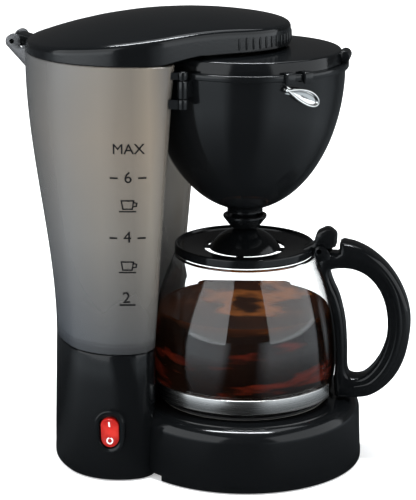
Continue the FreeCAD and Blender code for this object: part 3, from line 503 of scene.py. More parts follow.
class Materials:
    """Every material of the machine, made once."""

    def __init__(self) -> None:
        """Make all of them."""
        made = {finish: finish.value.make(finish.name.lower()) for finish in Finish}
        self.gloss = made[Finish.GLOSS_BLACK]
        self.matte = made[Finish.MATTE_BLACK]
        self.rubber = made[Finish.RUBBER]
        self.silicone = made[Finish.SILICONE]
        self.plate = made[Finish.PLATE]
        self.chrome = made[Finish.CHROME]
        self.band = made[Finish.BAND]
        self.steel = made[Finish.STEEL]
        self.aluminium = made[Finish.ALUMINIUM]
        self.smoke = self._smoke()
        self.glass = self._glass()
        self.coffee = self._coffee()
        self.red = self._red()
        self.black_print = self._print("black_print", (0.004, 0.004, 0.005))
        self.white_print = self._print("white_print", (0.85, 0.85, 0.83))

    @staticmethod
    def _smoke() -> bpy.types.Material:
        """Smoked translucent plastic with painted shade: darker and cooler towards the foot, a painted dark line where
        the tank's floor shows through, and painted light and shade in bands along the tank's length.
        """
        graph = Graph("smoke")
        haze = graph.noise(9.0, 3.0)
        streak = graph.noise(34.0, 1.0, (1, 1, 0.05))
        # Painted shade by height: the colour is darker and cooler towards the foot of the tank.
        level = graph.remap(graph.height() + haze * 0.02 + streak * 0.02, 0.095, 0.275, 0.12, 1.0)
        body = graph.ramp(level, [(0.12, (0.085, 0.096, 0.112)), (0.5, (0.215, 0.208, 0.20)),
                                  (0.8, (0.26, 0.235, 0.21)), (1.0, (0.24, 0.225, 0.21))])
        # Painted shade: a dark line where the tank's floor shows through the wall, and darker below it.
        painted_floor_line = graph.ramp(graph.remap(graph.height(), 0.080, 0.0925, 0.0, 1.0),
                          [(0.0, 0.55), (0.42, 0.62), (0.5, 0.85), (0.58, 0.7), (0.7, 1.0)])
        # Painted light and shade in bands along the tank: darker at its outer end, with painted beige light towards the
        # horns.
        along = graph.node("ShaderNodeSeparateXYZ", {0: graph.place()}, output="X")
        side = graph.ramp(graph.remap(along, -0.115, 0.005, 0.0, 1.0),
                          [(0.0, (0.42, 0.46, 0.52)), (0.12, (0.62, 0.66, 0.70)), (0.3, (0.92, 0.94, 0.96)),
                           (0.5, (1.15, 1.10, 1.02)), (0.66, (1.0, 0.95, 0.87)), (0.74, (1.3, 1.2, 1.05)),
                           (0.82, (0.75, 0.74, 0.72)), (0.9, (1.25, 1.15, 0.98))])
        # The painted shade by height, times the painted floor line.
        painted_height_shade = graph.node("ShaderNodeMix", {6: body, 7: painted_floor_line, 0: 1.0}, output=2, data_type="RGBA",
                          blend_type="MULTIPLY")
        colour = graph.node("ShaderNodeMix", {6: painted_height_shade, 7: side, 0: 1.0}, output=2, data_type="RGBA",
                            blend_type="MULTIPLY")
        graph.set(Base_Color=colour, Roughness=graph.remap(haze, 0.0, 1.0, 0.14, 0.3), Transmission_Weight=0.5,
                  IOR=1.46, Specular_IOR_Level=0.4, Normal=graph.bump(graph.noise(420.0, 2.0), 0.04, 0.0004))
        return graph.material

    @staticmethod
    def _glass() -> bpy.types.Material:
        """Clear glass with faint smears."""
        graph = Graph("jug_glass")
        smear = graph.noise(30.0, 5.0, (1, 1, 0.35))
        graph.set(Base_Color=graph.ramp(smear, [(0.2, (0.93, 0.94, 0.94)), (0.8, (0.97, 0.98, 0.98))]),
                  Roughness=graph.remap(smear, 0.4, 0.75, 0.0, 0.035), Transmission_Weight=1.0, IOR=1.47, Specular_IOR_Level=1.0,
                  Normal=graph.bump(graph.noise(12.0, 1.0), 0.05, 0.002))
        return graph.material

    @staticmethod
    def _coffee() -> bpy.types.Material:
        """Black coffee with painted reddish streaks of light, painted warm light near its surface, and a painted glow
        from emission all over.
        """
        graph = Graph("coffee")
        streak = graph.noise(20.0, 3.0, (1, 1, 4.5))
        # Painted reddish streaks of light in the dark coffee.
        deep = graph.ramp(streak, [(0.0, (0.003, 0.0015, 0.001)), (0.56, (0.005, 0.002, 0.001)),
                                   (0.66, (0.06, 0.007, 0.003)), (0.72, (0.005, 0.002, 0.001))])
        # Painted warm light in the streaks near the surface.
        shallow = graph.ramp(streak, [(0.3, (0.010, 0.003, 0.001)), (0.52, (0.03, 0.008, 0.002)),
                                      (0.62, (0.22, 0.07, 0.015)), (0.72, (0.02, 0.006, 0.002))])
        painted_light_near_top = graph.remap(graph.height() + streak * 0.006, 0.096, 0.1005, 0.0, 1.0)
        glow = graph.node("ShaderNodeMix", {0: painted_light_near_top, 6: deep, 7: shallow}, output=2, data_type="RGBA")
        # Painted glow: the coffee emits its own colour.
        graph.set(Base_Color=glow, Roughness=graph.remap(streak, 0.3, 0.7, 0.03, 0.08), IOR=1.34,
                  Specular_IOR_Level=0.12, Emission_Color=glow, Emission_Strength=0.5)
        return graph.material

    @staticmethod
    def _red() -> bpy.types.Material:
        """Lit red rocker."""
        graph = Graph("red_rocker")
        glow = graph.noise(90.0, 2.0)
        colour = graph.ramp(glow, [(0.35, (0.30, 0.008, 0.006)), (0.65, (0.52, 0.022, 0.014))])
        graph.set(Base_Color=colour, Roughness=graph.remap(glow, 0.3, 0.7, 0.12, 0.2), Coat_Weight=0.5,
                  Emission_Color=colour, Emission_Strength=0.04, Normal=graph.bump(glow, 0.12, 0.0004))
        return graph.material

    @staticmethod
    def _print(name: str, colour: tuple[float, float, float]) -> bpy.types.Material:
        """Printed ink with a slightly uneven edge of gloss."""
        graph = Graph(name)
        wear = graph.noise(700.0, 3.0)
        worn = tuple(min(1.0, channel * 1.25 + 0.004) for channel in colour)
        graph.set(Base_Color=graph.ramp(wear, [(0.45, colour), (0.8, worn)]),
                  Roughness=graph.remap(wear, 0.3, 0.7, 0.35, 0.5), Specular_IOR_Level=0.2)
        return graph.material


# ------------------------------------------------------------------ machine

class Machine:
    """Base, column, hot plate and tank of the fixed body, with the tank's marks."""

    BODY = "machine"

    def __init__(self, materials: Materials, plan: TankPlan) -> None:
        self.materials = materials
        self.plan = plan

    def build(self) -> None:
        """Build every fixed piece."""
        self.base()
        self.plate()
        self.tank()
        self.marks()

    def base(self) -> None:
        """Round warming base with a soft top edge, and the column that carries the tank."""
        base = Builder("warming_base")
        profile = round_corners([(0, 4.1), (74.6, 4.1), (73.2, 40, 9), (53.5, 40, 0.7), (52.2, 38.8), (0, 38.8)],
                                closed=False, steps=10)
        base.lathe(profile, 160, looped=False)
        turns = [math.radians(-124 + 248 * step / 120) for step in range(121)]
        base.strip([[(r * math.cos(t), r * math.sin(t)) for t in turns] for r in (74.9, 72.4)], 1.0, 4.3)
        base.finish(self.materials.gloss, self.BODY, ["base_housing"], "gloss_black")
        column = Builder("column")
        rings = [[(x, y, 4.1) for x, y in self.plan.outline(4.1, 0.1)]]
        for height in (20, 40, 60, 79.6):
            rings.append([(x, y, height) for x, y in self.plan.outline(height)])
        for height, inset in ((80.4, 0.25), (80.9, 0.9), (81, 3)):
            rings.append([(x, y, height) for x, y in self.plan.outline(81, inset)])
        column.stack(rings)
        column.strip([self.plan.outline(1, inset)[40:-4] for inset in (0.05, 2.5)], 1.0, 4.3)
        column.finish(self.materials.gloss, self.BODY, (), "gloss_black")

    def plate(self) -> None:
        """Coated hot plate with shallow rings pressed into it."""
        plate = Builder("hot_plate")
        profile = [(0, 40.5)]
        for radius in (12, 24, 36):
            profile += [(radius - 1.2, 40.5), (radius - 0.4, 40.1), (radius + 0.4, 40.1), (radius + 1.2, 40.5)]
        profile += round_corners([(46, 40.5), (51.8, 40.6, 0.6), (51.8, 39.4), (0, 39.4)], closed=False)
        plate.lathe(profile, 120, looped=False)
        plate.finish(self.materials.plate, self.BODY, ["warmer_plate"], "plate_coating")

    def tank(self) -> None:
        """Smoked tank: a thin skin with a floor, and the ears of its two hinges."""
        tank = Builder("tank_skin")
        heights = [81.6 + (257 - 81.6) * step / 28 for step in range(29)]
        outer = [[(x, y, 81.0) for x, y in self.plan.outline(81.0, 0.6)]]
        outer += [[(x, y, height) for x, y in self.plan.outline(height)] for height in heights]
        outer += [[(x, y, 257.5) for x, y in self.plan.outline(257.5, inset)] for inset in (0.5, 1.7)]
        inner = [[(x, y, height) for x, y in self.plan.outline(height, 2.2)] for height in reversed(heights)
                 if height > 86.5]
        inner.append([(x, y, 86.5) for x, y in self.plan.outline(86.5, 2.2)])
        tank.stack(outer + inner)
        self.ears(tank)
        self.basket_ears()
        skin = tank.finish(self.materials.smoke, self.BODY, ["water_tank"], "smoke", 40)
        self.tree = BVHTree.FromObject(skin, bpy.context.evaluated_depsgraph_get())

    def ears(self, tank: Builder) -> None:
        """Gussets that carry the lid's pin."""
        for low, high in ((-14, -8), (8, 14)):
            outline = round_corners([(-133.6, 246), (-133.6, 257), (-138, 257, 1), (-138, 265.5, 3.9),
                                     (-146, 265.5, 3.9), (-146, 259.5, 3)])
            tank.upright_slab(outline, low, high, 0.5)

    def basket_ears(self) -> None:
        """Black ears for the basket's pin."""
        ears = Builder("basket_ears")
        for low, high in ((232, 238), (249.3, 254)):
            knob = round_corners([(1.5, low), (3.1, low, 0.5), (3.1, high, 0.5), (1.5, high)])
            ears.lathe(knob, 32, centre=(-29, -60.1))
            web = [(-37, -62.6), (-31.4, -62.6), (-31.4, -57.6), (-37, -57.6)]
            ears.stack([[(x, y, z) for x, y in web] for z in (low + 0.3, high - 0.3)])
        ears.finish(self.materials.gloss, self.BODY, (), "gloss_black")

    def marks(self) -> None:
        """Level marks printed on the tank's front."""
        for text, x, z, size in (("MAX", -59.3, 209.6, 6.0), ("6", -59.7, 192.5, 6.8), ("4", -60.7, 156.0, 6.8),
                                 ("2", -62.0, 118.1, 6.8)):
            self.printed("mark_" + text, text_outline(text, size), x, z)
        dash = [(-2.3, -0.5), (2.3, -0.5), (2.3, 0.5), (-2.3, 0.5)]
        for x, z in ((-59.8, 192.0), (-60.8, 155.2)):
            for side in (-1, 1):
                self.printed("dash_%d_%d" % (z, side), [dash], x + side * 8.2, z)
        self.printed("dash_low", [[(2 * x, z) for x, z in dash]], -61.6, 113.3)
        for x, z in ((-60.3, 175.2), (-61.1, 137.4)):
            self.printed("cup_%d" % z, cup_sign(), x, z)

    def printed(self, name: str, loops: list[list[Point]], x: float, z: float) -> None:
        """Lay flat outlines onto the tank's front as thin print."""
        build_print(name, loops, self.tree, Vector((x, z)), self.materials.black_print, self.BODY)


def text_outline(text: str, size: float) -> list[list[Point]]:
    """Triangles of a word in the built-in font, about its middle, with capitals of a given height."""
    curve = bpy.data.curves.new("word", "FONT")
    curve.body = text
    curve.align_x = "CENTER"
    curve.resolution_u = 6
    item = bpy.data.objects.new("word", curve)
    bpy.context.scene.collection.objects.link(item)
    data = item.to_mesh()
    low = min(v.co.y for v in data.vertices)
    high = max(v.co.y for v in data.vertices)
    scale = size / (high - low)
    data.calc_loop_triangles()
    loops = [[(data.vertices[i].co.x * scale, (data.vertices[i].co.y - (low + high) / 2) * scale)
              for i in triangle.vertices] for triangle in data.loop_triangles]
    item.to_mesh_clear()
    bpy.data.objects.remove(item)
    bpy.data.curves.remove(curve)
    return loops


def cup_sign() -> list[list[Point]]:
    """A plain side view of a cup with a handle, as thin bars."""
    bars = [((-4.2, 3.6), (4.2, 3.6)), ((-4.2, 3.6), (-3.2, -2.4)), ((4.2, 3.6), (3.2, -2.4)), ((-3.2, -2.4), (3.2, -2.4)),
            ((4.2, 2.4), (6.3, 1.8)), ((6.3, 1.8), (5.9, -0.4)), ((5.9, -0.4), (3.7, -0.6)), ((-5.4, -4.2), (5.4, -4.2))]
    loops = []
    for start, end in bars:
        first, last = Vector(start) * 0.85, Vector(end) * 0.85
        along = (last - first).normalized() * 0.38
        across = Vector((-along.y, along.x))
        loops.append([tuple(first - along - across), tuple(last + along - across),
                      tuple(last + along + across), tuple(first - along + across)])
    return loops


def build_print(name: str, loops: list[list[Point]], tree: BVHTree, spot: Vector, ink: bpy.types.Material,
                body: str) -> None:
    """Lay flat faces onto a surface seen from the front, as a thin closed skin."""
    builder = Builder(name)
    flat = builder.mesh
    for loop in loops:
        flat.faces.new([flat.verts.new((x, 0, z)) for x, z in loop])
    bmesh.ops.remove_doubles(flat, verts=flat.verts, dist=1e-4)
    bmesh.ops.subdivide_edges(flat, edges=[e for e in flat.edges if e.calc_length() > 2.5], cuts=2)
    bmesh.ops.triangulate(flat, faces=flat.faces)
    bmesh.ops.recalc_face_normals(flat, faces=flat.faces)
    front = flat.faces[:]
    made = bmesh.ops.extrude_face_region(flat, geom=front)
    back = {item for item in made["geom"] if isinstance(item, bmesh.types.BMVert)}
    for vert in flat.verts:
        x, z = (vert.co.x + spot.x + builder.axis_x) * MM, (vert.co.z + spot.y) * MM
        hit = tree.ray_cast(Vector((x, -0.3, z)), Vector((0, 1, 0)))[0]
        lift = 0.00006 if vert in back else 0.00022
        vert.co = Vector((x, hit.y - lift, z))
    builder.finish(ink, body, (), "", 60)


class TankLid:
    """Crowned lid with a finger grip of fine ribs on its nose, and its knuckle."""

    BODY = "tank_lid"

    def __init__(self, materials: Materials, plan: LidPlan) -> None:
        self.materials = materials
        self.plan = plan

    def floor(self, x: float) -> float:
        """Lower edge of the side wall: over the tank it meets the rim, and towards the nose it climbs."""
        share = min(max((x + 46) / 30, 0), 1)
        smooth = share * share * (3 - 2 * share)
        return 257.8 + (262.6 - 257.8) * smooth

    def build(self) -> None:
        """Build the lid, its ribs and its knuckle."""
        lid = Builder("lid_shell")
        plan = self.plan
        rings = []
        for inset, drop in ((0.35, 0.0), (0.0, 0.5)):
            rings.append([(x, y, self.floor(x) + drop) for x, y in plan.outline(inset)])
        edge = 2.6
        for step in range(4):
            share = (step + 1) / 5
            rings.append([(x, y, self.floor(x) + (plan.crown(x, y) - edge - self.floor(x)) * share)
                          for x, y in plan.outline(0)])
        for step in range(7):
            turn = math.pi / 2 * step / 6
            inset = edge * (1 - math.cos(turn))
            rings.append([(x, y, plan.crown(x, y) - edge * (1 - math.sin(turn)))
                          for x, y in plan.outline(inset)])
        for share in (0.9, 0.78, 0.62, 0.45, 0.28, 0.12):
            rings.append([(self.mid(x) + (x - self.mid(x)) * share, y * share,
                           plan.crown(self.mid(x) + (x - self.mid(x)) * share, y * share))
                          for x, y in plan.outline(edge)])
        rings.append([(-52.0, 0.0, plan.crown(-52.0, 0.0))])
        inner = []
        for inset in (1.2, 2.4):
            inner.append([(x, y, self.floor(x)) for x, y in plan.outline(inset)])
        inner.append([(x, y, plan.crown(x, y, 2.4) - 1) for x, y in plan.outline(2.4)])
        for share in (0.85, 0.6, 0.3):
            inner.append([(self.mid(x) + (x - self.mid(x)) * share, y * share,
                           plan.crown(self.mid(x) + (x - self.mid(x)) * share, y * share, 2.4))
                          for x, y in plan.outline(2.4)])
        inner.append([(-52.0, 0.0, plan.crown(-52.0, 0.0, 2.4))])
        lid.stack(list(reversed(inner)) + rings)
        self.knuckle(lid)
        lid.finish(self.materials.gloss, self.BODY, ["tank_lid"], "gloss_black")
        self.ribs()

    @staticmethod
    def mid(x: float) -> float:
        """Where the rings of the top shrink to."""
        return -52.0

    def ribs(self) -> None:
        """Fine upright ribs round the nose."""
        ribs = Builder("lid_ribs")
        plan = self.plan
        for step in range(-14, 15):
            turn = math.radians(step * 5.6)
            x = plan.nose_x + plan.nose_radius * math.cos(turn)
            y = plan.nose_radius * math.sin(turn)
            low = self.floor(x) + 1.6
            high = plan.crown(x, y) - 4.2
            profile = [(0.0, low - 0.2), (0.75, low + 0.5), (0.85, (low + high) / 2), (0.75, high - 0.5), (0, high)]
            ribs.lathe(profile, 10, looped=False, centre=(x - 0.15 * math.cos(turn), y - 0.15 * math.sin(turn)))
        ribs.finish(self.materials.gloss, self.BODY, (), "gloss_black")

    def knuckle(self, lid: Builder) -> None:
        """The barrel round the pin and the web that joins it to the lid."""
        outline = round_corners([(-138.4, 257.7, 3), (-133, 258.6), (-133, 263), (-142, 265.5, 5),
                                 (-145.9, 261.5, 4), (-142, 257.6, 3)])
        lid.upright_slab(outline, -7.7, 7.7, 0.6)


class Basket:
    """Brew basket: bowl, rim ring, lid, clips, pull tab and the drip stop's neck."""

    BODY = "basket"

    def __init__(self, materials: Materials) -> None:
        self.materials = materials

    def build(self) -> None:
        """Build every piece of the basket."""
        self.bowl()
        self.lid()
        self.clips()
        self.tab()
        self.cup()

    def bowl(self) -> None:
        """Half-ellipsoid bowl with a rim ring and a grooved neck."""
        bowl = Builder("bowl")
        outer = []
        for step in range(44):
            turn = math.radians(90 * step / 44 + 1)
            radius, height = 60 * math.cos(turn), 249 - 89.5 * math.sin(turn)
            if radius > 11.4:
                outer.append((radius, height))
        neck = round_corners([(11.4, 161.6, 0.6), (11, 159.8, 0.2), (10.2, 159.4, 0.2), (11, 159, 0.2),
                              (11, 157.8, 0.3), (7.6, 157.8), (7.6, 153.9), (5.5, 153.9), (5.5, 163)], closed=False)
        ring = round_corners([(59.2, 252.5), (62, 252.5, 0.9), (62, 248.6, 0.9), (60, 248.6)], closed=False)
        inner = []
        for step in range(30):
            turn = math.radians(90 * step / 30)
            radius, height = 57.8 * math.cos(turn), 249 - 87.3 * math.sin(turn)
            if radius > 6:
                inner.append((radius, height))
        profile = ring + outer + neck + list(reversed(inner)) + [(57.8, 249.1), (59.1, 249.1)]
        bowl.lathe(profile, 160)
        self.barrel(bowl)
        bowl.finish(self.materials.gloss, self.BODY, ["brew_basket"], "gloss_black")

    def barrel(self, bowl: Builder) -> None:
        """Hinge barrel by the tank."""
        bowl.lathe(round_corners([(1.56, 238.3), (3.1, 238.3, 0.5), (3.1, 248.8, 0.5), (1.56, 248.8)]), 32,
                   centre=(-29, -60.1))
        reach = Vector((-29, -60.1)).normalized()
        side = Vector((-reach.y, reach.x)) * 2.2
        low, high = reach * 59, reach * 64.2
        corners = [low + side, high + side, high - side, low - side]
        bowl.stack([[(c.x, c.y, z) for c in corners] for z in (238.6, 248.5)])

    def lid(self) -> None:
        """Shallow domed lid inside the rim ring, with its hinge knuckle."""
        lid = Builder("basket_cover")
        outer = round_corners([(58.5, 250.2), (58.4, 252.6), (57.3, 259.6, 1.6), (40, 260.4), (20, 260.9),
                               (5, 260.9, 0.5), (5, 258.8)], closed=False)
        under = [(20, 258.7), (40, 258.2), (54.6, 257.2), (56, 250.2)]
        lid.lathe(outer + under, 160)
        knuckle = round_corners([(0, 3.6), (7.4, 3.6, 0.6), (8, 0)], closed=False)
        for side in (1, -1):
            rings = []
            for along, radius in [(0, 3.6)] + [(a, r) for a, r in knuckle[1:]]:
                turns = [2 * math.pi * step / 28 for step in range(28)]
                rings.append([(59.6 + radius * math.cos(t), side * along, 256.4 + radius * math.sin(t))
                              for t in turns] if radius > 1e-6 else [(59.6, side * along, 256.4)])
            lid.stack(rings)
        lid.finish(self.materials.gloss, self.BODY, ["basket_lid"], "gloss_black")

    def clips(self) -> None:
        """Two lugs that clip the lid to the ring."""
        for number, angle in enumerate((-59, -48), start=1):
            clip = Builder("clip_%d" % number)
            outline = round_corners([(59.5, 252.7), (62.1, 252.7), (62.1, 247.1, 0.4), (64.6, 247.1, 0.8),
                                     (64.6, 253.9, 1.4), (59.5, 253.9, 0.5)])
            clip.upright_slab(outline, -2.9, 2.9, 0.5)
            turn_about_axis(clip, angle)
            clip.finish(self.materials.gloss, self.BODY, ["basket_clip_%d" % number], "gloss_black")

    def tab(self) -> None:
        """Bright dished pull tab, pointed to the left and round to the right."""
        tab = Builder("bright_tab")
        outline = tab_outline()
        levels = [(0.2, 0.9), (0.0, 0.4), (-0.6, 0.0), (-2.3, 0.0), (-2.9, 0.35), (-3.0, 0.8), (-2.8, 1.3),
                  (-1.6, 1.75), (-1.3, 2.4)]
        rings = [[(x, y, z) for x, z in shrink(outline, inset)] for y, inset in levels]
        rings.append([(x * 0.5 + 1.6, -1.15, z * 0.5 - 0.9) for x, z in shrink(outline, 2.4)])
        tab.stack(rings)
        bmesh.ops.rotate(tab.mesh, verts=tab.mesh.verts, cent=(tab.axis_x * MM, 0, 0),
                         matrix=Matrix.Rotation(math.radians(6), 3, "Y"))
        bmesh.ops.translate(tab.mesh, verts=tab.mesh.verts, vec=(0, -61.3 * MM, 240.4 * MM))
        turn_about_axis(tab, 90 - 51)
        tab.finish(self.materials.chrome, self.BODY, ["pull_tab"], "chrome", 50)

    def cup(self) -> None:
        """Sliding drip cup."""
        cup = Builder("sliding_cup")
        profile = round_corners([(2, 147.9), (8.5, 147.9, 0.8), (13.5, 154.4, 0.6), (13.5, 155.8, 0.4),
                                 (11.4, 155.8, 0.2), (11.4, 153.5), (7.9, 153.5), (7.9, 149.6), (2, 149.6)])
        cup.lathe(profile, 96)
        cup.finish(self.materials.gloss, "drip_stop", ["drip_cup"], "gloss_black")


def tab_outline() -> list[Point]:
    """Teardrop: a point on the left and a round end on the right, sloping down."""
    points = []
    for step in range(64):
        turn = 2 * math.pi * step / 64
        along = math.cos(turn)
        width = 6.4 * math.sin(turn) * (0.5 + 0.5 * along) ** 0.55
        x = 12.2 * along
        points.append((x - 0.6, width - 0.28 * x - 0.5))
    return points


def turn_about_axis(builder: Builder, degrees: float) -> None:
    """Turn a mesh about the hot plate's upright axis."""
    bmesh.ops.rotate(builder.mesh, verts=builder.mesh.verts, cent=(builder.axis_x * MM, 0, 0),
                     matrix=Matrix.Rotation(math.radians(degrees), 3, "Z"))


class Carafe:
    """Glass jug with coffee, steel band, handle, and the hinged lid."""

    BODY = "carafe"

    def __init__(self, materials: Materials) -> None:
        self.materials = materials

    @staticmethod
    def radius(height: float) -> float:
        """Outer radius of the glass at a height."""
        if height >= 68:
            return 58 - 140.8 + math.sqrt(140.8 ** 2 - (height - 68) ** 2)
        return 58 - 120 + math.sqrt(120 ** 2 - (height - 68) ** 2)

    def build(self) -> None:
        """Build the jug and everything on it."""
        self.glass()
        self.coffee()
        self.steel_band()
        self.handle()
        self.lid()

    def side(self, low: float, high: float, inset: float, steps: int) -> list[Point]:
        """Profile of the jug's side between two heights."""
        heights = [low + (high - low) * step / steps for step in range(steps + 1)]
        return [(self.radius(height) - inset, height) for height in heights]

    def glass(self) -> None:
        """The jug."""
        jug = Builder("jug")
        corner = [(49 + 8 * math.sin(math.radians(t)), 50.2 - 9.3 * math.cos(math.radians(t))) for t in range(0, 90, 10)]
        outer = [(0, 41.4), (44, 41.4), (46, 40.9)] + corner + self.side(51, 126, 0, 26)
        outer += round_corners([(45, 127.5), (43.9, 130.4), (43.8, 131.8, 0.8), (42.2, 131.8, 0.7), (42.0, 130)],
                               closed=False)
        inner = [(44.0, 126.0)] + list(reversed(self.side(51, 124, 1.8, 26)))
        inner += [(49 + 6.3 * math.sin(math.radians(t)), 50.2 - 7.4 * math.cos(math.radians(t)))
                  for t in range(80, -1, -10)] + [(0, 43.0)]
        jug.lathe(outer + inner, 128, looped=False)
        jug.finish(self.materials.glass, self.BODY, ["carafe_glass"], "jug_glass")

    def coffee(self) -> None:
        """Coffee up to the level seen, with a curved edge where it wets the glass."""
        coffee = Builder("coffee")
        corner = [(49 + 6.2 * math.sin(math.radians(t)), 50.2 - 7.3 * math.cos(math.radians(t)))
                  for t in range(0, 90, 10)]
        level = 97.0
        profile = [(0, 43.1)] + corner + self.side(51, level + 0.8, 1.9, 14)
        edge = self.radius(level)
        profile += [(edge - 2.6, level + 0.25), (edge - 4, level), (0, level)]
        coffee.lathe(profile, 128, looped=False)
        coffee.finish(self.materials.coffee, self.BODY)

    def steel_band(self) -> None:
        """Polished band round the foot of the jug, open at the handle."""
        band = Builder("steel_band")
        outline = round_corners([(57.3, 45), (58.5, 45, 0.35), (58.5, 54, 0.35), (57.3, 54)], steps=3)
        rings = []
        for step in range(121):
            turn = math.radians(17.5 + 325 * step / 120)
            rings.append([(r * math.cos(turn), r * math.sin(turn), z) for r, z in outline])
        band.stack(rings)
        band.finish(self.materials.band, self.BODY, ["carafe_band"], "polished_steel")

    def handle(self) -> None:
        """D-shaped handle with a strap that follows the glass, and the ears of the lid's pin."""
        handle = Builder("grip")
        outer, inner = self.handle_outlines()
        levels = [(-8.4, 2.3), (-8.1, 1.4), (-7.3, 0.5), (-6, 0), (6, 0), (7.3, 0.5), (8.1, 1.4), (8.4, 2.3)]
        outside = [handle.ring([(x, y, z) for x, z in shrink(outer, inset)]) for y, inset in levels]
        inside = [handle.ring([(x, y, z) for x, z in shrink(inner, -inset)]) for y, inset in levels]
        for rings in (outside, inside):
            for first, second in zip(rings, rings[1:]):
                handle.bridge(first, second)
        for end in (0, -1):
            handle.bridge(outside[end], inside[end])
        for low, high in ((-9, -6.3), (6.3, 9)):
            ear = round_corners([(45.5, 129), (54, 131), (54, 134), (50.2, 139.2, 3), (43.8, 139.2, 3)])
            handle.upright_slab(ear, low, high, 0.4)
        path = smooth([(66, 133.5), (76, 130.4), (86, 122.6), (93.4, 111), (96.9, 97), (97.2, 84), (94.2, 70),
                       (88.2, 58.6), (80, 50.6), (70, 47.6)])
        for side in (-1, 1):
            rings = []
            for here, after in zip(path, path[1:]):
                along = (Vector(after) - Vector(here)).normalized()
                across = Vector((-along.y, along.x))
                rings.append([(here[0] + across.x * w, side * y, here[1] + across.y * w)
                              for w, y in ((-2.2, 8.0), (-2.0, 8.6), (-1.2, 9.0), (1.2, 9.0), (2.0, 8.6), (2.2, 8.0))])
            handle.stack(rings)
        handle.finish(self.materials.gloss, self.BODY, ["handle"], "gloss_black")

    def handle_outlines(self) -> tuple[list[Point], list[Point]]:
        """Outer and inner outlines of the handle with the same number of points, matched by direction."""
        outer = smooth([(58.7, 41.8), (64, 41.7), (71, 41.9), (80, 43.6), (89, 49.6), (96.6, 59), (101.6, 71), (104, 86),
                        (102.9, 100), (97.8, 114), (89.4, 126.4), (79, 135.4), (69, 140.2), (60, 141.9)])
        outer += round_corners([(59.5, 141.9), (59.5, 134, 1), (50.5, 134, 1), (46, 130, 1)]
                               + [(self.radius(h) + 0.5, h) for h in range(126, 50, -6)] + [(58.6, 42)], False)
        inner = smooth([(68, 55), (75, 55.6), (81.8, 62), (87, 71.5), (90, 84), (89.6, 98), (85.6, 110.6), (78, 120.2),
                        (68, 124.9), (57, 124.8), (53.4, 122.2), (55.4, 115), (59.8, 105), (63.4, 90), (64.8, 74),
                        (65.4, 59)], True)
        middle = Vector((76, 90))
        return resample(outer, middle, 160), resample(inner, middle, 160)

    def lid(self) -> None:
        """Dished lid ring with a dome in its drip hole, spokes and a thumb lever."""
        lid = Builder("jug_lid")
        ring = round_corners([(25, 133.2, 0.6), (41.2, 133, 0.6), (42.6, 132.2, 0.5), (43.5, 133, 0.6),
                              (43.5, 138, 1.2), (41.8, 138, 0.8), (40.6, 136.2, 1.2), (25, 135, 0.7)])
        lid.lathe(ring, 128)
        curve = (22 ** 2 + 12.5 ** 2) / 25
        steps = 16
        reach = math.asin(22 / curve)
        dome = [(curve * math.sin(reach * i / steps), 147.5 - curve * (1 - math.cos(reach * i / steps)))
                for i in range(steps + 1)]
        under = [((curve - 2) * math.sin(reach * i / steps) * 0.99, 145.4 - (curve - 2) * (1 - math.cos(reach * i / steps)))
                 for i in range(steps, -1, -1)]
        lid.lathe(dome + [(21.8, 134.4)] + under, 96, looped=False)
        for quarter in range(4):
            turn = math.radians(90 * quarter)
            along, across = Vector((math.cos(turn), math.sin(turn))), Vector((-math.sin(turn), math.cos(turn))) * 2.1
            corners = [along * 20 + across, along * 27 + across, along * 27 - across, along * 20 - across]
            lid.stack([[(c.x, c.y, z) for c in corners] for z in (133.3, 134.7)])
        lever = round_corners([(37, 134), (47, 133.4, 1), (49.8, 136, 1.5), (57.2, 138.4, 1.5), (57.4, 146, 4),
                               (52, 150.2, 4.5), (44.8, 146.5, 4.5), (43.4, 140, 2), (37, 136.6)])
        lid.upright_slab(lever, -5.8, 5.8, 1.2)
        lid.finish(self.materials.gloss, "carafe_lid", ["carafe_lid"], "gloss_black")


def smooth(points: Sequence[Point], closed: bool = False, steps: int = 6) -> list[Point]:
    """A smooth curve through points.

    Args:
        points: what it passes through.
        closed: whether the last point joins the first.
        steps: segments between two of them.

    Returns:
        The curve's points.
    """
    count = len(points)
    curve = []
    for index in range(count if closed else count - 1):
        if closed:
            a, b, c, d = (Vector(points[(index + shift) % count]) for shift in (-1, 0, 1, 2))
        else:
            a, b, c, d = (Vector(points[min(max(index + shift, 0), count - 1)]) for shift in (-1, 0, 1, 2))
        for step in range(steps):
            t = step / steps
            spot = (b * 2 + (c - a) * t + (a * 2 - b * 5 + c * 4 - d) * t * t
                    + (b * 3 - a - c * 3 + d) * t * t * t) * 0.5
            curve.append((spot.x, spot.y))
    if not closed:
        curve.append(tuple(points[-1]))
    return curve


def resample(outline: Sequence[Point], middle: Vector, count: int) -> list[Point]:
    """Where rays from a middle point meet an outline, at even angles."""
    found = []
    closed = list(outline) + [outline[0]]
    for step in range(count):
        turn = 2 * math.pi * step / count
        ray = Vector((math.cos(turn), math.sin(turn)))
        best = 0.0
        for start, end in zip(closed, closed[1:]):
            first, along = Vector(start) - middle, Vector(end) - Vector(start)
            cross = ray.x * along.y - ray.y * along.x
            if abs(cross) < 1e-9:
                continue
            distance = (first.x * along.y - first.y * along.x) / cross
            share = (first.x * ray.y - first.y * ray.x) / cross
            if -1e-9 <= share <= 1 + 1e-9 and distance > best:
                best = distance
        found.append((middle.x + ray.x * best, middle.y + ray.y * best))
    return found


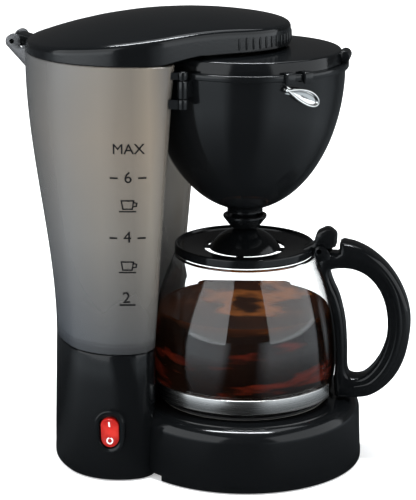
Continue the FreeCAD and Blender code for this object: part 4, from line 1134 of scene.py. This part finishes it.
class Switch:
    """Oval bezel and red rocker with its signs."""

    CENTRE = (-73.0, 32.5)

    def __init__(self, materials: Materials) -> None:
        self.materials = materials

    def build(self) -> None:
        """Build bezel and rocker."""
        x, z = self.CENTRE
        bezel = Builder("oval_bezel")
        levels = [(-60, 9.5), (-66.0, 9.5), (-66.7, 9.2), (-67.0, 8.7), (-66.9, 7.2), (-66.4, 6.5), (-64.5, 6.2),
                  (-60, 6.2)]
        rings = [[(x + px, y, z + pz) for px, pz in stadium(width, width + 4.3)] for y, width in levels]
        bezel.stack(rings, looped=True)
        back = [[(x + px, y, z + pz) for px, pz in stadium(width, width + 4.3)]
                for y, width in ((-62, 8.5), (-46.2, 8.5), (-46, 8.2))]
        bezel.stack([back[2], back[1], back[0]] + [[(x + px, y, z + pz) for px, pz in stadium(6.2, 10.5)]
                                                   for y in (-62, -48)])
        bezel.finish(self.materials.gloss, "machine", ["switch_bezel"], "gloss_black")
        self.rocker(x, z)

    def rocker(self, x: float, z: float) -> None:
        """Rocker with a shallow valley across its middle, tilted about its pin."""
        rocker = Builder("red_key")
        def front(height: float) -> float:
            return -2.0 - 2.6 * (abs(height) / 9.6) ** 1.15
        rings = [[(px, 5.0, pz * 0.8) for px, pz in stadium(5.4, 9.3)], [(px, 0.0, pz) for px, pz in stadium(5.7, 9.6)]]
        for inset, drop in ((0.0, 0.9), (0.25, 0.3), (0.8, 0.0), (2.2, -0.05), (3.8, -0.1), (5.2, -0.1)):
            rings.append([(px, front(pz) + drop, pz) for px, pz in stadium(5.7 - inset, 9.6 - inset)])
        rocker.stack(rings)
        self.place(rocker, x, z)
        rocker.finish(self.materials.red, "switch", ["switch_rocker"], "red_rocker")
        ring = [(2.1 * math.cos(2 * math.pi * i / 24), 2.1 * math.sin(2 * math.pi * i / 24)) for i in range(24)]
        hole = [(px * 0.62, pz * 0.62) for px, pz in ring]
        signs = Builder("key_signs")
        for outline, inner, spot in ((ring, hole, -5.4), ([(-0.45, -2.2), (0.45, -2.2), (0.45, 2.2), (-0.45, 2.2)], None, 5.4)):
            def lift(points: Sequence[Point], out: float, spot: float = spot) -> list[tuple[float, float, float]]:
                return [(px, front(pz + spot) - out, pz + spot) for px, pz in points]
            if inner is None:
                signs.stack([lift(outline, 0.0), lift(outline, 0.18)])
            else:
                signs.stack([lift(outline, 0.0), lift(outline, 0.18), lift(inner, 0.18), lift(inner, 0.0)], looped=True)
        self.place(signs, x, z)
        signs.finish(self.materials.white_print, "switch")

    @staticmethod
    def place(builder: Builder, x: float, z: float) -> None:
        """Tilt a piece about the pin and move it into the bezel."""
        bmesh.ops.rotate(builder.mesh, verts=builder.mesh.verts, cent=(0, 0, 0),
                         matrix=Matrix.Rotation(math.radians(7), 3, "X"))
        bmesh.ops.translate(builder.mesh, verts=builder.mesh.verts, vec=(x * MM, -63 * MM, z * MM))


# ------------------------------------------------------------------ studio

@dataclass(frozen=True)
class View:
    """The camera, in millimetres and degrees about the hot plate's axis."""

    distance: float = 1106.9
    height: float = 436.4
    azimuth: float = 7.5
    pitch: float = 15.354
    yaw: float = 1.179
    roll: float = -0.217
    lens: float = 132.88

    def build(self, axis_x: float) -> None:
        """Make the camera."""
        data = bpy.data.cameras.new("camera")
        data.lens = self.lens
        camera = bpy.data.objects.new("camera", data)
        bpy.context.scene.collection.objects.link(camera)
        bpy.context.scene.camera = camera
        turn = Matrix.Rotation(math.radians(self.azimuth), 3, "Z")
        yaw, pitch, roll = (math.radians(angle) for angle in (self.yaw, self.pitch, self.roll))
        right = Vector((math.cos(yaw), math.sin(yaw), 0))
        ahead = Vector((-math.sin(yaw) * math.cos(pitch), math.cos(yaw) * math.cos(pitch), -math.sin(pitch)))
        up = right.cross(ahead)
        level_right = right * math.cos(roll) - up * math.sin(roll)
        level_up = right * math.sin(roll) + up * math.cos(roll)
        axes = turn @ Matrix((level_right, level_up, -ahead)).transposed()
        spot = turn @ Vector((0, -self.distance, self.height)) * MM + Vector((axis_x * MM, 0, 0))
        camera.matrix_world = Matrix.Translation(spot) @ axes.to_4x4()
        data.clip_start = 0.05


@dataclass(frozen=True)
class Softbox:
    """One area light, in metres and watts."""

    name: str
    spot: tuple[float, float, float]
    width: float
    height: float
    power: float

    def build(self, target: Vector) -> None:
        """Make the light and point it at the machine."""
        data = bpy.data.lights.new(self.name, "AREA")
        data.shape = "RECTANGLE"
        data.size, data.size_y, data.energy = self.width, self.height, self.power
        data.color = (0.93, 0.97, 1.0)
        lamp = bpy.data.objects.new(self.name, data)
        bpy.context.scene.collection.objects.link(lamp)
        lamp.location = self.spot
        lamp.rotation_euler = (target - Vector(self.spot)).to_track_quat("-Z", "Y").to_euler()


class Studio:
    """Plain pale floor, soft boxes and a white surround."""

    BOXES = (
        Softbox("left_window", (-0.90, -0.80, 0.55), 1.9, 1.1, 12.0),
        Softbox("right_window", (1.18, -0.26, 0.55), 2.1, 1.1, 11.0),
        Softbox("top_box", (0.05, 0.35, 1.35), 1.1, 0.8, 6.0),
        Softbox("top_strip", (0.0, -0.12, 1.1), 0.7, 0.07, 16.0),
    )

    def build(self, axis_x: float) -> None:
        """Build floor, lights and world."""
        self.floor()
        for box in self.BOXES:
            box.build(Vector((0, 0, 0.13)))
        self.world()
        View().build(axis_x)
        scene = bpy.context.scene
        scene.view_settings.view_transform = "Standard"

    def floor(self) -> None:
        """A wide pale floor; to glossy rays it shows painted windows of light, with painted shade near the machine."""
        mesh = bmesh.new()
        bmesh.ops.create_grid(mesh, x_segments=2, y_segments=2, size=6)
        data = bpy.data.meshes.new("floor")
        mesh.to_mesh(data)
        mesh.free()
        floor = bpy.data.objects.new("floor", data)
        bpy.context.scene.collection.objects.link(floor)
        graph = Graph("floor")
        place = graph.place()
        mirror = graph.remap(graph.node("ShaderNodeLightPath", output="Glossy Depth"), 0.0, 1.0, 0.0, 1.0)
        turned = graph.node("ShaderNodeMapping", {"Vector": place, "Rotation": (0, 0, math.radians(82.5))},
                            output="Vector")
        round_about = graph.node("ShaderNodeTexGradient", {"Vector": turned}, output="Fac", gradient_type="RADIAL")
        def cool(level: float) -> tuple[float, float, float]:
            return (level * 0.84, level * 0.93, level)
        # Painted window light, seen only in reflections.
        windows = graph.ramp(round_about, [(0.20, cool(0.10)), (0.27, cool(1.0)), (0.43, cool(0.9)), (0.462, cool(0.03)),
                                           (0.545, cool(0.03)), (0.59, cool(0.8)), (0.77, cool(0.7)), (0.85, cool(0.10))])
        away = graph.node("ShaderNodeVectorMath", {0: place}, output="Value", operation="LENGTH")
        # Painted shade near the machine in these reflections.
        far = graph.ramp(away, [(0.10, 0.04), (0.22, 0.28), (0.5, 1.0)])
        shown = graph.node("ShaderNodeVectorMath", {0: windows, "Scale": far}, output="Vector", operation="SCALE")
        lit = graph.remap(away, 0.3, 1.2, 0.35, 1.0)
        tone = graph.node("ShaderNodeMix", {0: mirror, 2: 0.9, 3: 0.0}, data_type="FLOAT")
        glow = graph.node("ShaderNodeMix", {0: mirror, 6: lit, 7: shown}, output=2, data_type="RGBA")
        graph.set(Base_Color=tone, Roughness=0.7, Specular_IOR_Level=0.0, Emission_Color=glow, Emission_Strength=1.0)
        data.materials.append(graph.material)

    def world(self) -> None:
        """White to the camera and through glass, and dimmer in reflections."""
        world = bpy.data.worlds.new("surround")
        world.use_nodes = True
        bpy.context.scene.world = world
        tree = world.node_tree
        path = tree.nodes.new("ShaderNodeLightPath")
        seen = tree.nodes.new("ShaderNodeMath")
        seen.operation = "MAXIMUM"
        tree.links.new(path.outputs["Is Camera Ray"], seen.inputs[0])
        tree.links.new(path.outputs["Is Transmission Ray"], seen.inputs[1])
        direct = tree.nodes.new("ShaderNodeMapRange")
        direct.inputs["To Min"].default_value = 0.5
        direct.inputs["To Max"].default_value = 1.0
        tree.links.new(seen.outputs[0], direct.inputs["Value"])
        level = tree.nodes.new("ShaderNodeMapRange")
        level.inputs["To Max"].default_value = 0.05
        tree.links.new(direct.outputs["Result"], level.inputs["To Min"])
        tree.links.new(path.outputs["Glossy Depth"], level.inputs["Value"])
        back = tree.nodes["Background"]
        back.inputs["Color"].default_value = (1, 1, 1, 1)
        tree.links.new(level.outputs["Result"], back.inputs["Strength"])


PLAIN = {
    "rubber": ["foot_1", "foot_2", "foot_3", "foot_4"],
    "matte": ["bottom_cover", "inlet_valve", "terminal_block", "cord_gland", "filter_cone", "spring_keeper",
              "basket_hinge_pin"],
    "steel": ["cover_screw_1", "cover_screw_2", "cover_screw_3", "cover_screw_4", "heater_clamp", "clamp_screw",
              "thermostat", "thermal_fuse", "lid_hinge_pin", "valve_spring", "carafe_lid_pin"],
    "silicone": ["plate_seal", "inlet_tube", "riser_tube", "drip_valve"],
    "aluminium": ["heating_element"],
    "smoke": ["outlet_arm"],
}


def main() -> None:
    """Build the looks in order."""
    logging.basicConfig(level=logging.INFO)
    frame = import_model()
    low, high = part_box("warmer_plate")
    Builder.axis_x = (low.x + high.x) / 2 / MM
    materials = Materials()
    LOG.info("materials made")
    for name, nodes in PLAIN.items():
        for node in nodes:
            data = frame["nodes"][node].data
            data.materials.clear()
            data.materials.append(getattr(materials, name))
    plan = TankPlan()
    Machine(materials, plan).build()
    TankLid(materials, LidPlan()).build()
    Basket(materials).build()
    Carafe(materials).build()
    Switch(materials).build()
    LOG.info("pieces built")
    Studio().build(Builder.axis_x)


if __name__ == "__main__":
    main()
